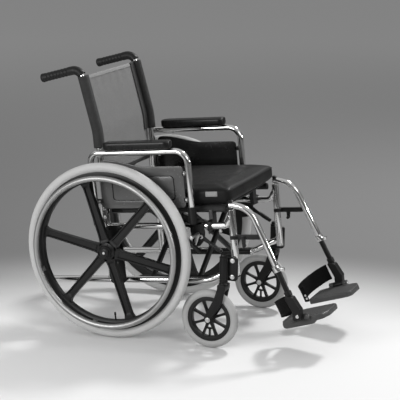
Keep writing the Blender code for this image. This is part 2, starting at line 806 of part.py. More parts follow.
def side_panel():
    """The skirt guard: a plate with a pressed border groove and lugs to the arm's posts."""
    x0 = ARM_HALF - PANEL_THICK / 2
    x1 = ARM_HALF + PANEL_THICK / 2
    joins = []
    gap = ARM_TUBE_R + SEAT_GAP
    for h in (PANEL_FOOT + PANEL_LUG_IN, PANEL_TOP - PANEL_LUG_IN):
        rear = block((x0, -PANEL_REAR - 0.004, h - PANEL_LUG), (x1, -ARM_REAR_A - gap, h + PANEL_LUG))
        front = block((x0, -ARM_FRONT_A + gap, h - PANEL_LUG), (x1, -PANEL_FRONT + 0.004, h + PANEL_LUG))
        joins += [rear, front]
    inset = PANEL_INSET
    ends = (PANEL_REAR + inset + 0.012, PANEL_FRONT - inset - 0.004, PANEL_FOOT + inset - 0.006, PANEL_TOP - inset)
    outer = framed(round_rect(*ends, PANEL_CORNER))
    g = PANEL_GROOVE
    inner = framed(round_rect(ends[0] + g, ends[1] - g, ends[2] + g, ends[3] - g, PANEL_CORNER - g * 0.6))
    groove = built(
        slab(outer, x1 - PANEL_GROOVE_DEPTH, x1 + 0.01), [], [slab(inner, x0, x1 + 0.02)]
    )
    return built(slab(framed(panel_outline()), x0, x1), joins, [groove])


# Rear wheels


def tyre(radius, section, sides, steps):
    """A ring of round section whose flats, not its corners, reach the full radius."""
    outer = radius / math.cos(math.pi / steps)
    centre = outer - section
    profile = [(section * math.sin(t), centre + section * math.cos(t)) for t in
               (math.tau * (i + 0.5) / sides for i in range(sides))]
    stretch = section / (section * math.cos(math.pi / sides))
    profile = [(x * stretch, centre + (r - centre) * stretch) for x, r in profile]
    return turned(profile, steps, ring=True, start=-math.pi / 2 + math.pi / steps)


def tyre_seat(radius, section, steps):
    """The rim's radius under a tyre of the given size."""
    return radius / math.cos(math.pi / steps) - 2 * section - 0.0006


def spoke(root, tip, inner, outer, turn, thick, channel, rib):
    """A tapered bar from the hub to the rim with a channel down each face."""
    bm = slab([(inner, -root / 2), (outer, -tip / 2), (outer, tip / 2), (inner, root / 2)], -thick / 2, thick / 2)
    cuts = []
    if channel:
        cut = [
            (inner + 0.012, -root / 2 + rib), (outer - 0.010, -tip / 2 + rib),
            (outer - 0.010, tip / 2 - rib), (inner + 0.012, root / 2 - rib),
        ]
        cuts = [slab(cut, thick / 2 - channel, thick), slab(cut, -thick, -thick / 2 + channel)]
    shape = built(bm, [], cuts) if cuts else bm
    return moved(shape, turn=Matrix.Rotation(turn, 4, "X"))


def rear_wheel():
    """Moulded wheel: a shallow rim, a hub and six channelled spokes in one casting."""
    seat = tyre_seat(WHEEL_R, TYRE_R, WHEEL_SIDES)
    half = RIM_WIDTH / 2
    rim = turned(
        [
            (-half, RIM_INNER + 0.006), (-half + 0.005, RIM_INNER), (half - 0.005, RIM_INNER),
            (half, RIM_INNER + 0.006), (half, seat + RIM_LIP), (half - 0.004, seat + RIM_LIP),
            (half - 0.006, seat), (-half + 0.006, seat), (-half + 0.004, seat + RIM_LIP), (-half, seat + RIM_LIP),
        ],
        WHEEL_SIDES, ring=True, start=math.pi / WHEEL_SIDES,
    )
    hub = turned(
        [
            (-HUB_HALF, 0), (-HUB_HALF, HUB_BEARING_R), (-HUB_HALF + 0.010, HUB_BEARING_R),
            (-HUB_HALF + 0.014, HUB_R), (HUB_HALF - 0.014, HUB_R),
            (HUB_HALF - 0.010, HUB_BEARING_R), (HUB_HALF, HUB_BEARING_R), (HUB_HALF, 0),
        ],
        16,
    )
    joins = [hub]
    for i in range(SPOKES):
        turn = SPOKE_TURN + math.tau * i / SPOKES
        joins.append(
            spoke(SPOKE_ROOT, SPOKE_TIP, HUB_R - 0.008, RIM_INNER + 0.004, turn, SPOKE_THICK, SPOKE_CHANNEL, SPOKE_RIB)
        )
    bore = rod(Vector((-0.05, 0, 0)), Vector((0.05, 0, 0)), AXLE_R + RUN_GAP, 10)
    return built(rim, joins, [bore])


def handrim():
    ring = turned(
        [(x + HANDRIM_OFFSET, HANDRIM_R + r) for x, r in circle(HANDRIM_TUBE_R, 8)],
        WHEEL_SIDES, ring=True, start=math.pi / WHEEL_SIDES,
    )
    joins = []
    start = RIM_WIDTH / 2 + SEAT_GAP
    end = HANDRIM_OFFSET - HANDRIM_TUBE_R * 0.5
    for i in range(SPOKES):
        turn = SPOKE_TURN + math.tau * (i + 0.5) / SPOKES
        tab = block((start, RIM_INNER + 0.008, -HANDRIM_TAB), (end, RIM_INNER + 0.017, HANDRIM_TAB))
        joins.append(moved(tab, turn=Matrix.Rotation(turn, 4, "X")))
    return built(ring, joins)


def axle_pin():
    """The quick-release axle: a pin through hub and sleeve, with a button in its cap."""
    face = HUB_HALF + 0.0005
    inner = -(WHEEL_HALF - FRAME_HALF) + 0.004
    profile = [
        (inner, 0), (inner, AXLE_R * 0.7), (inner + 0.003, AXLE_R), (face, AXLE_R), (face, AXLE_CAP_R),
        (face + AXLE_CAP * 0.5, AXLE_CAP_R), (face + AXLE_CAP, AXLE_CAP_R * 0.7),
        (face + AXLE_CAP, 0.006), (face + AXLE_CAP + 0.003, 0.005), (face + AXLE_CAP + 0.003, 0),
    ]
    return turned(profile, 14)


# Casters


def swivel_y():
    """The swivel axis' place behind the front post, measured at the middle of the housing."""
    level = (HOUSING_FOOT + HOUSING_TOP) / 2
    c, s = math.cos(FRAME_TILT), math.sin(FRAME_TILT)
    h = (level - WHEEL_R - FRONT_POST_A * s) / c
    return -FRONT_POST_A * c + h * s + CASTER_SETBACK


def caster_wheel():
    seat = tyre_seat(CASTER_R, CASTER_TYRE_R, CASTER_SIDES)
    half = 0.0105
    rim = turned(
        [(-half, CASTER_RIM_INNER), (half, CASTER_RIM_INNER), (half, seat + 0.003), (half - 0.003, seat),
         (-half + 0.003, seat), (-half, seat + 0.003)],
        CASTER_SIDES, ring=True, start=math.pi / CASTER_SIDES,
    )
    hub = turned(
        [(-CASTER_HUB_HALF, 0), (-CASTER_HUB_HALF, 0.010), (-0.009, CASTER_HUB_R), (0.009, CASTER_HUB_R),
         (CASTER_HUB_HALF, 0.010), (CASTER_HUB_HALF, 0)],
        12,
    )
    joins = [hub]
    for i in range(CASTER_SPOKES):
        turn = math.tau * (i + 0.5) / CASTER_SPOKES + math.pi / 2
        joins.append(
            spoke(CASTER_SPOKE, CASTER_SPOKE * 0.7, CASTER_HUB_R - 0.004, CASTER_RIM_INNER + 0.003, turn, 0.012, 0, 0)
        )
    joins.append(
        spoke(CASTER_SPOKE * 0.5, CASTER_SPOKE * 0.5, CASTER_RIM_INNER * 0.55, CASTER_RIM_INNER + 0.003,
              -math.pi / 2, 0.010, 0, 0)
    )
    joins.append(slab(arch_outline(), -0.005, 0.005))
    bore = rod(Vector((-0.05, 0, 0)), Vector((0.05, 0, 0)), CASTER_AXLE_R + RUN_GAP, 8)
    return built(rim, joins, [bore])


def arch_outline():
    """The small web that carries the short spoke between its two neighbours."""
    half_step = math.pi / CASTER_SPOKES
    inner, outer = CASTER_RIM_INNER * 0.52, CASTER_RIM_INNER * 0.60
    turns = [-math.pi / 2 - half_step, -math.pi / 2, -math.pi / 2 + half_step]
    points = [(inner * math.cos(t), inner * math.sin(t)) for t in turns]
    points += [(outer * math.cos(t), outer * math.sin(t)) for t in reversed(turns)]
    return points


def caster_fork():
    """Stem, crown and two blades that trail back to the axle; drawn about the swivel axis."""
    y_axle = CASTER_TRAIL
    blade = [
        (-0.013, CROWN_TOP - 0.006), (-0.013, CROWN_FOOT + 0.002), (-0.004, 0.165),
        (y_axle - 0.0135, CASTER_R + 0.004), (y_axle - 0.009, CASTER_R - 0.010), (y_axle, CASTER_R - 0.0135),
        (y_axle + 0.009, CASTER_R - 0.010), (y_axle + 0.0135, CASTER_R), (y_axle + 0.012, CASTER_R + 0.012),
        (0.026, 0.176), (0.015, CROWN_FOOT + 0.004), (0.013, CROWN_TOP - 0.006),
    ]
    outer = FORK_HALF + FORK_THICK
    left = slab(blade, FORK_HALF, outer)
    right = slab(blade, -outer, -FORK_HALF)
    crown_outline = round_rect(-0.014, 0.014, CROWN_FOOT, CROWN_TOP - 0.004, 0.006, 2)
    crown = slab(crown_outline, -outer + 0.001, outer - 0.001)
    neck = rod(Vector((0, 0, CROWN_TOP - 0.010)), Vector((0, 0, CROWN_TOP)), HOUSING_R, 14)
    stem = rod(Vector((0, 0, CROWN_FOOT + 0.01)), Vector((0, 0, STEM_TOP)), STEM_R, 10)
    nut = rod(Vector((0, 0, HOUSING_TOP + 0.0008)), Vector((0, 0, STEM_TOP - 0.002)), 0.0105, 6)
    bore = rod(Vector((-0.05, y_axle, CASTER_R)), Vector((0.05, y_axle, CASTER_R)), CASTER_AXLE_R + SEAT_GAP, 8)
    return built(crown, [left, right, neck, stem, nut], [bore])


def caster_axle():
    end = FORK_HALF + FORK_THICK + SEAT_GAP
    profile = [
        (-end - 0.004, 0), (-end - 0.004, 0.0062), (-end, 0.0070), (-end, CASTER_AXLE_R),
        (end, CASTER_AXLE_R), (end, 0.0070), (end + 0.004, 0.0062), (end + 0.004, 0),
    ]
    return turned(profile, 8, start=math.pi / 8)


def caster_housing():
    """The upright bearing housing with the bracket that bolts it to the front post."""
    x, y = CASTER_HALF, swivel_y()
    body = rod(Vector((x, y, HOUSING_FOOT)), Vector((x, y, HOUSING_TOP)), HOUSING_R, 14)
    x0 = FRAME_HALF + POST_R + SEAT_GAP
    outline = round_rect(y - 0.044, y + 0.006, HOUSING_FOOT + 0.004, HOUSING_TOP - 0.004, 0.006, 2)
    bracket = slab(outline, x0, x0 + 0.012)
    joins = [bracket]
    for z in (HOUSING_FOOT + 0.018, HOUSING_TOP - 0.014):
        joins.append(rod(Vector((x0 + 0.010, y - 0.027, z)), Vector((x0 + 0.017, y - 0.027, z)), 0.0065, 6))
    bore = rod(Vector((x, y, HOUSING_FOOT - 0.02)), Vector((x, y, HOUSING_TOP + 0.02)), STEM_R + RUN_GAP, 10)
    return built(body, joins, [bore])


# Hangers and footrests


def hanger_line(h):
    """The forward place a of the straight lower leg's centre line at height h."""
    knee_h = HANGER_TOP_H - math.tan(HANGER_FALL) * (HANGER_KNEE_A - FRONT_POST_A)
    return HANGER_KNEE_A + (knee_h - h) / math.tan(HANGER_DROP)


def along_leg(h):
    """The point of the lower leg's centre line at height h; the leg splays outwards as it drops."""
    drop = (HANGER_TOP_H - h) / (HANGER_TOP_H - BLOCK_TOP_H)
    return at(FRAME_HALF + LEG_SPLAY * drop, hanger_line(h), h)


def hanger():
    """The bent tube, with its pivot pin in the post and the bar that clasps the post lower down."""
    x = FRAME_HALF
    knee_h = HANGER_TOP_H - math.tan(HANGER_FALL) * (HANGER_KNEE_A - FRONT_POST_A)
    path = rounded(
        [at(x, FRONT_POST_A - 0.006, HANGER_TOP_H), at(x, FRONT_POST_A + 0.008, HANGER_TOP_H),
         along_leg(knee_h), along_leg(HANGER_END_H)],
        [0.02, HANGER_BEND],
        math.radians(11),
    )
    pin = rod(at(x, FRONT_POST_A, FRONT_POST_TOP - HANGER_PIN_DEPTH), at(x, FRONT_POST_A, HANGER_TOP_H), HANGER_PIN_R)
    knob = rod(at(x, FRONT_POST_A, HANGER_TOP_H), at(x, FRONT_POST_A, HANGER_TOP_H + HANGER_R + 0.004), 0.0065, 8)
    leg_a = hanger_line(HANGER_BAR_H)
    t = HANGER_BAR_THICK / 2
    bar = block((x - 0.003, -leg_a, HANGER_BAR_H - t), (x + 0.007, -FRONT_POST_A, HANGER_BAR_H + t))
    clasp = block(
        (x - POST_R - 0.004, -FRONT_POST_A - POST_R - 0.007, HANGER_BAR_H - t),
        (x + POST_R + 0.004, -FRONT_POST_A + 0.004, HANGER_BAR_H + t),
    )
    post_space = rod(at(x, FRONT_POST_A, HANGER_BAR_H - 0.03), at(x, FRONT_POST_A, HANGER_BAR_H + 0.03), POST_R + 0.0010, 12)
    leg_end = along_leg(HANGER_END_H - 0.02)
    bore_top = HANGER_END_H + (EXTENSION_PLUG + EXTENSION_STROKE + 0.004) * math.sin(HANGER_DROP)
    bore = rod(along_leg(bore_top), leg_end, EXTENSION_R + SEAT_GAP, 10)
    clamp = rod(along_leg(HANGER_END_H + 0.016), along_leg(HANGER_END_H - 0.002), HANGER_R + 0.0025, 12)
    lug_x = along_leg(HANGER_END_H).x
    lug = block(
        (lug_x - 0.005, -hanger_line(HANGER_END_H) - 0.022, HANGER_END_H + 0.001),
        (lug_x + 0.005, -hanger_line(HANGER_END_H), HANGER_END_H + 0.013),
    )
    return built(tube(path, HANGER_R), [knob, bar, clasp, pin, clamp, lug], [post_space, bore])


def hanger_latch():
    """The release lever at the foot of the clasp bar."""
    a = FRONT_POST_A + POST_R + 0.024
    x = FRAME_HALF + 0.007 + SEAT_GAP
    outline = [
        (a - 0.007, HANGER_BAR_H + 0.006), (a + 0.006, HANGER_BAR_H + 0.006), (a + 0.009, HANGER_BAR_H - 0.010),
        (a + 0.006, HANGER_BAR_H - 0.034), (a - 0.004, HANGER_BAR_H - 0.036), (a - 0.005, HANGER_BAR_H - 0.014),
    ]
    lever = slab(framed(outline), x, x + 0.005)
    knob = rod(at(x + 0.001, a, HANGER_BAR_H), at(x + 0.009, a, HANGER_BAR_H), LATCH_R, 8)
    tip = rod(at(x - 0.009, a + 0.001, HANGER_BAR_H - 0.029), at(x + 0.006, a + 0.001, HANGER_BAR_H - 0.029), 0.0055, 8)
    return built(lever, [knob, tip])


def extension():
    """The telescoping footrest tube, with the block and pin that the footplate turns on."""
    x = along_leg(BLOCK_TOP_H).x
    plug_top = along_leg(HANGER_END_H + EXTENSION_PLUG * math.sin(HANGER_DROP))
    stem = rod(plug_top, along_leg(BLOCK_TOP_H - 0.02), EXTENSION_R, 10)
    pitch = math.tan(PLATE_PITCH)
    rear, front = FLIP_A - FLIP_BARREL / 2 + 0.0035, FLIP_A + FLIP_BARREL / 2 - 0.0035
    outline = [
        (hanger_line(BLOCK_TOP_H) - 0.016, BLOCK_TOP_H), (hanger_line(BLOCK_TOP_H) + 0.017, BLOCK_TOP_H - 0.008),
        (front, BLOCK_FOOT_H + 0.016), (front, FLIP_H + pitch * FLIP_BARREL / 2 - 0.004),
        (rear, FLIP_H - pitch * FLIP_BARREL / 2 - 0.004), (rear, BLOCK_FOOT_H + 0.010),
    ]
    body = slab(framed(outline), x - BLOCK_HALF, x + BLOCK_HALF)
    barrel = rod(flip_point(-FLIP_BARREL / 2), flip_point(FLIP_BARREL / 2), FLIP_BARREL_R, 12)
    pin = rod(flip_point(-FLIP_BARREL / 2 - 0.016), flip_point(FLIP_BARREL / 2 + 0.016), FLIP_PIN_R, 10)
    return built(body, [stem, barrel, pin])


def flip_point(run, x=FLIP_X, drop=0.0):
    """A point of the footplate's own plane: run forwards along its pitch, drop below the hinge."""
    c, s = math.cos(PLATE_PITCH), math.sin(PLATE_PITCH)
    return at(x, FLIP_A + run * c + drop * s, FLIP_H + run * s - drop * c)


def footplate():
    """The flip-up plate: skin with a turned-down wall, ribs below and two hinge knuckles."""
    heel = -FOOTPLATE_HEEL_RUN
    toe = FOOTPLATE_TOE_RUN
    outer = FLIP_X - FOOTPLATE_EDGE
    top = -FOOTPLATE_DROP
    foot = top - FOOTPLATE_THICK
    inner = FOOTPLATE_INNER
    plan = [
        (inner, heel + 0.010), (inner + 0.010, heel), (outer, heel), (outer, toe - 0.040), (outer - 0.012, toe - 0.014),
        (outer - 0.034, toe), (inner + 0.020, toe), (inner, toe - 0.018),
    ]
    skin = upright_slab(plan, foot, top)
    w = FOOTPLATE_WALL
    pocket = [
        (inner + w, heel + 0.010 + w), (inner + 0.010 + w, heel + w), (outer - w, heel + w), (outer - w, toe - 0.042),
        (outer - 0.016, toe - 0.016 - w), (outer - 0.036, toe - w), (inner + 0.022, toe - w), (inner + w, toe - 0.020),
    ]
    hollow = upright_slab(pocket, foot - 0.01, top - FOOTPLATE_SKIN)
    joins = []
    for x in (inner + 0.045, inner + 0.092):
        joins.append(block((x - 0.002, -toe + 0.003, foot + 0.003), (x + 0.002, -heel - 0.003, top - 0.001)))
    half = FLIP_BARREL / 2 + 0.0006
    knuckle = 0.015
    for run in (half, -half - knuckle):
        joins.append(rod(Vector((FLIP_X, -run, 0)), Vector((FLIP_X, -run - knuckle, 0)), FLIP_BARREL_R, 12))
        joins.append(block((outer - 0.016, -run - knuckle, foot + 0.002), (FLIP_X - 0.001, -run, -0.001)))
    pin_bore = rod(Vector((FLIP_X, -0.2, 0)), Vector((FLIP_X, 0.2, 0)), FLIP_PIN_R + RUN_GAP, 10)
    notch = block(
        (outer - 0.006, -half, foot - 0.01),
        (FLIP_X + 0.02, half, 0.02),
    )
    shape = built(built(skin, [], [hollow]), joins, [pin_bore, notch])
    spot = at(0, FLIP_A, FLIP_H)
    return moved(shape, spot, Matrix.Rotation(-PLATE_PITCH, 4, "X"))


def upright_slab(plan, low, high):
    """A plate between two heights whose plan is a list of (x, run) points, run being forwards."""
    bm = bmesh.new()
    under = [bm.verts.new((x, -run, low)) for x, run in plan]
    over = [bm.verts.new((x, -run, high)) for x, run in plan]
    for i in range(len(plan)):
        j = (i + 1) % len(plan)
        bm.faces.new((under[i], under[j], over[j], over[i]))
    bm.faces.new(under)
    bm.faces.new(over)
    bmesh.ops.recalc_face_normals(bm, faces=bm.faces[:])
    return bm


def heel_loop():
    """The webbing band behind the heel, from the plate's inner corner up to the block.

    It swings back from the straight line between its ends by the square root of a half sine.
    """
    start = at(FOOTPLATE_INNER + FOOTPLATE_EDGE, FLIP_A - FOOTPLATE_HEEL_RUN - FOOTPLATE_EDGE, FLIP_H + HEEL_LIFT)
    behind = min(FLIP_A - HEEL_SETBACK, hanger_line(BLOCK_TOP_H) - HEEL_LEG_GAP)
    end = at(FLIP_X + HEEL_OUTSET, behind, FLIP_H + HEEL_LIFT + HEEL_RISE)
    points = []
    for i in range(HEEL_STEPS + 1):
        t = (1 - math.cos(math.pi * i / HEEL_STEPS)) / 2
        sag = HEEL_SAG * math.sqrt(max(0.0, math.sin(math.pi * t)))
        points.append(start.lerp(end, t) + at(0, -sag, 0))
    t = HEEL_THICK / 2
    half = HEEL_BAND / 2
    up = at(0, -0.12, 1).normalized()
    return swept(points, [(-t, -half), (t, -half), (t, half), (-t, half)], up)


# Wheel locks


def lock_body():
    """The lock's plate, bolted to the upper rail's outer side."""
    x0 = FRAME_HALF + TUBE_R + SEAT_GAP
    outline = framed(
        [(0.288, 0.058), (0.288, 0.078), (0.336, 0.078), (0.340, 0.050), (0.336, 0.024), (0.318, 0.004), (0.294, 0.002)]
    )
    x1 = x0 + LOCK_PLATE
    joins = []
    for a in (0.296, 0.328):
        joins.append(rod(at(x1 - 0.002, a, 0.067), at(x1 + 0.003, a, 0.067), 0.0050, 6))
    for a, h in (LOCK_PIVOT, SHOE_PIVOT):
        joins.append(rod(at(x1 - 0.002, a, h), at(x1 + 0.0135, a, h), 0.0035, 8))
    return built(slab(outline, x0, x1), joins)


def lock_lever():
    x0 = FRAME_HALF + TUBE_R + LOCK_PLATE + 2 * SEAT_GAP + 0.0003
    a, h = LOCK_PIVOT
    ahead = Vector((math.cos(LOCK_DROOP), -math.sin(LOCK_DROOP)))
    over = Vector((math.sin(LOCK_DROOP), math.cos(LOCK_DROOP)))
    centre = Vector((a, h))

    def spot(run, rise):
        p = centre + ahead * run + over * rise
        return p.x, p.y

    outline = [spot(-0.009, -0.006), spot(-0.009, 0.006), spot(0.0, 0.009), spot(0.030, 0.006), spot(0.050, 0.005),
               spot(0.050, -0.005), spot(0.030, -0.006), spot(0.0, -0.009)]
    arm = slab(framed(outline), x0, x0 + 0.004)
    xg = x0 + 0.006
    start, end = spot(0.036, 0), spot(LOCK_REACH, 0)
    grip = rod(at(xg, *start), at(xg, *end), 0.0080, 10)
    bore = rod(at(x0 - 0.02, a, h), at(x0 + 0.03, a, h), 0.0035 + RUN_GAP, 8)
    return built(arm, [grip], [bore])


def lock_shoe():
    """The arm with the cross bar that presses on the tyre."""
    x0 = FRAME_HALF + TUBE_R + LOCK_PLATE + 0.0055
    pa, ph = SHOE_PIVOT
    sa, sh = SHOE_AT
    outline = [(pa - 0.006, ph - 0.005), (pa + 0.006, ph - 0.005), (sa + 0.007, sh), (sa + 0.002, sh + 0.007),
               (sa - 0.006, sh + 0.004)]
    arm = slab(framed(outline), x0, x0 + 0.004)
    bar = rod(at(x0 + 0.001, sa, sh), at(WHEEL_HALF + 0.014, sa, sh), SHOE_R, 10)
    bore = rod(at(x0 - 0.02, pa, ph), at(x0 + 0.02, pa, ph), 0.0035 + RUN_GAP, 8)
    return built(arm, [bar], [bore])


# Assembly


def build_side(side, label, frame):
    """Every piece of one side, hung on the empty of its own joint."""

    def spot(name, x, y, z, parent=frame, datum=UPRIGHT):
        return pivot(f"{name}_{label}", parent, (side * x, y, z), datum)

    def add(name, bm, finish, holder, datum=TILT):
        piece(f"{name}_{label}", bm, finish, holder, datum, side)

    add("side_frame", side_frame(), "chrome", frame)
    add("back_cane", back_cane(), "chrome", frame)
    add("push_grip", push_grip(), "grip_rubber", frame)
    add("axle_plate", axle_plate(), "black_paint", frame)
    add("arm_socket", arm_socket(), "black_plastic", frame)
    add("rail_guide", rail_guide(), "black_plastic", frame)
    add("caster_housing", caster_housing(), "black_paint", frame, UPRIGHT)
    add("lock_body", lock_body(), "steel", frame)

    arm = spot("arm_lift_axis", *at(ARM_HALF, ARM_FRONT_A, ARM_FOOT_H), datum=TILT)
    add("arm_tube", arm_tube(), "chrome", arm)
    add("arm_pad", arm_pad(), "seat_vinyl", arm)
    add("side_panel", side_panel(), "side_panel_plastic", arm)

    axle = Matrix.Translation((WHEEL_HALF, 0, WHEEL_R))
    wheel = spot("wheel_axis", WHEEL_HALF, 0, WHEEL_R)
    add("rear_tyre", tyre(WHEEL_R, TYRE_R, 8, WHEEL_SIDES), "grey_tyre", wheel, axle)
    add("rear_wheel", rear_wheel(), "black_plastic", wheel, axle)
    add("handrim", handrim(), "handrim_alloy", wheel, axle)
    add("axle_pin", axle_pin(), "steel", frame, axle)

    swivel_spot = (CASTER_HALF, swivel_y(), 0)
    swivel = spot("caster_swivel_axis", *swivel_spot)
    add("caster_fork", caster_fork(), "black_paint", swivel, Matrix.Translation(swivel_spot))
    hub_spot = (CASTER_HALF, swivel_y() + CASTER_TRAIL, CASTER_R)
    hub = spot("caster_axis", *hub_spot, parent=swivel)
    hub_datum = Matrix.Translation(hub_spot)
    add("caster_wheel", caster_wheel(), "black_plastic", hub, hub_datum)
    add("caster_tyre", tyre(CASTER_R, CASTER_TYRE_R, 8, CASTER_SIDES), "grey_tyre", hub, hub_datum)
    add("caster_axle", caster_axle(), "steel", swivel, hub_datum)

    post = spot("hanger_axis", *at(FRAME_HALF, FRONT_POST_A, HANGER_TOP_H), datum=TILT)
    add("hanger", hanger(), "chrome", post)
    latch_a = FRONT_POST_A + POST_R + 0.024
    latch = spot("latch_axis", *at(FRAME_HALF, latch_a, HANGER_BAR_H), parent=post, datum=TILT)
    add("hanger_latch", hanger_latch(), "black_plastic", latch)
    slide = spot("footrest_axis", *along_leg(HANGER_END_H), parent=post, datum=TILT)
    add("footrest_tube", extension(), "black_paint", slide)
    flip = spot("footplate_axis", *at(FLIP_X, FLIP_A, FLIP_H), parent=slide, datum=TILT)
    add("footplate", footplate(), "black_plastic", flip)
    add("heel_loop", heel_loop(), "webbing", flip)

    lever = spot("lock_axis", *at(FRAME_HALF, *LOCK_PIVOT), datum=TILT)
    add("lock_lever", lock_lever(), "black_plastic", lever)
    shoe = spot("shoe_axis", *at(FRAME_HALF, *SHOE_PIVOT), datum=TILT)
    add("lock_shoe", lock_shoe(), "steel", shoe)


def centre_on_floor(chair):
    """Moves the chair so that the middle of its footprint's box is the origin."""
    bpy.context.view_layer.update()
    lows = Vector((math.inf,) * 3)
    highs = Vector((-math.inf,) * 3)
    for obj in bpy.data.objects:
        if obj.type != "MESH":
            continue
        for vertex in obj.data.vertices:
            point = obj.matrix_world @ vertex.co
            lows = Vector(map(min, lows, point))
            highs = Vector(map(max, highs, point))
    chair.location -= Vector(((lows.x + highs.x) / 2, (lows.y + highs.y) / 2, lows.z))


def main():
    clear_scene()
    chair = pivot("chair", None, (0, 0, 0))
    low_pivot = (BRACE_PIVOT_X, 0, LOWER_RAIL_H)
    fold = pivot("fold_axis", chair, (-low_pivot[0], 0, low_pivot[2]), TILT)
    middle_h = (LOWER_RAIL_H + SEAT_RAIL_H) / 2
    scissor = pivot("brace_centre_axis", fold, (0, 0, middle_h), TILT)
    left_frame = pivot("left_frame_axis", scissor, low_pivot, TILT)
    seat = pivot("seat_axis", fold, (BRACE_PIVOT_X, 0, SEAT_RAIL_H), TILT)

    rear, front, step = BRACE_TUBE_REAR, BRACE_TUBE_FRONT, BRACE_TUBE_STEP
    piece("brace_a", brace(1, (rear, front)), "black_paint", fold, TILT)
    piece("brace_b", brace(-1, (rear + step, front - step)), "black_paint", scissor, TILT)
    piece("brace_bolt_rear", brace_bolt(rear, rear + step), "steel", fold, TILT)
    piece("brace_bolt_front", brace_bolt(front - step, front), "steel", fold, TILT)
    piece("seat_sling", seat_sling(), "seat_vinyl", seat, TILT)
    piece("seat_cushion", seat_cushion(), "seat_vinyl", seat, TILT)
    piece("back_upholstery", back_upholstery(), "back_cloth", chair, TILT)

    build_side(1, "left", left_frame)
    build_side(-1, "right", chair)
    centre_on_floor(chair)


main()
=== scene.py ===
import bmesh
import bpy
import numpy as np
from mathutils import Matrix, Vector


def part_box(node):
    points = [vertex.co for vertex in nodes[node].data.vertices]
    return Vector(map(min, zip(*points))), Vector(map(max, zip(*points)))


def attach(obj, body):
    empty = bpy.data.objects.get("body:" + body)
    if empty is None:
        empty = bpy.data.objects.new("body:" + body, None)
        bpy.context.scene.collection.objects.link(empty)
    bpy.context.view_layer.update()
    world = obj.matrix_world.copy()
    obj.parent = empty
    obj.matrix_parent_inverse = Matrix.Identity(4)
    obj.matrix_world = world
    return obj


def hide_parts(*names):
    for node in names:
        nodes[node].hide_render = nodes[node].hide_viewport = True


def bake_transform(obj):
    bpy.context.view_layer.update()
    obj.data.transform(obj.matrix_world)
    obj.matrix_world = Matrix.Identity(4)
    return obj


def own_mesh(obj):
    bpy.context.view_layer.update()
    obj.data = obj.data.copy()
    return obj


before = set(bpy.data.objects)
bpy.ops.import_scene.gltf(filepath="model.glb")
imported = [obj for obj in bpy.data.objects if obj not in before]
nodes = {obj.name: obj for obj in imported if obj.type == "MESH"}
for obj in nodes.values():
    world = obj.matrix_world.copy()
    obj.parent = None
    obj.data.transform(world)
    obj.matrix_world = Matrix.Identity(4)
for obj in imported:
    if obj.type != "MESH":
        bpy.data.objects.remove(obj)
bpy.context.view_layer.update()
print("wheelchair: frame loaded")

tyreLow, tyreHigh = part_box("rear_tyre_left")
axleY, axleZ = (tyreLow.y + tyreHigh.y) / 2, 0.305
tilt = np.radians(6.3)
tau = 2 * np.pi
sides = {"left": 1, "right": -1}


# Shapes


# Each vector divided by its own length.
def unit(vectors):
    vectors = np.asarray(vectors, float)
    return vectors / np.linalg.norm(vectors, axis=-1, keepdims=True)


# A point (x, a, h) of the leaning frame: a runs forwards and h upwards from the axle, turned by the tilt.
def datum(points, side=1):
    x, a, h = np.moveaxis(np.asarray(points, float), -1, 0)
    c, s = np.cos(tilt), np.sin(tilt)
    return np.stack([x * side, axleY - a * c + h * s, axleZ + a * s + h * c], -1)


# A point (x, y, z) of the upright parts, with y measured back from the axle.
def upright(points, side=1):
    x, y, z = np.moveaxis(np.asarray(points, float), -1, 0)
    return np.stack([x * side, y + axleY, z], -1)


frameAhead, frameUp = datum([(0, 1, 0), (0, 0, 1)]) - datum([(0, 0, 0)])


# Quads that join neighbouring points of a grid of rows by columns; a wrapped side closes on itself.
def gridQuads(rows, columns, wrapRows=False, wrapColumns=True):
    i = np.arange(rows if wrapRows else rows - 1)[:, None]
    j = np.arange(columns if wrapColumns else columns - 1)[None, :]
    nextI, nextJ = (i + 1) % rows, (j + 1) % columns
    corners = [i * columns + j, i * columns + nextJ, nextI * columns + nextJ, nextI * columns + j]
    return np.stack(np.broadcast_arrays(*corners), axis=-1).reshape(-1, 4)


# The sum of the signed volumes of the pyramids from the origin to each face; negative means inside out.
def facingOut(points, faces):
    volume = 0.0
    for group in faces:
        first = points[group[:, 0]]
        for k in range(1, group.shape[1] - 1):
            volume += np.sum(first * np.cross(points[group[:, k]], points[group[:, k + 1]]))
    return points, faces if volume > 0 else [group[:, ::-1] for group in faces]


# A skin over rows of points. Its two ends close with a fan to their middle or with one flat face.
def gridShell(rows, wrapRows=False, caps="fan"):
    count, columns = rows.shape[:2]
    points, faces = rows.reshape(-1, 3), [gridQuads(count, columns, wrapRows)]
    if not wrapRows:
        first, last = np.arange(columns)[::-1], (count - 1) * columns + np.arange(columns)
        if caps == "fan":
            middles = np.stack([rows[0].mean(0), rows[-1].mean(0)])
            for loop, middle in ((first, len(points)), (last, len(points) + 1)):
                faces.append(np.stack([loop, np.roll(loop, -1), np.full(columns, middle)], -1))
            points = np.concatenate([points, middles])
        else:
            faces += [first[None], last[None]]
    return facingOut(points, faces)


# Points at even turns: radius times the cosine and the sine.
def circle(radius, count=24):
    turn = np.arange(count) * tau / count
    return np.stack([radius * np.cos(turn), radius * np.sin(turn)], -1)


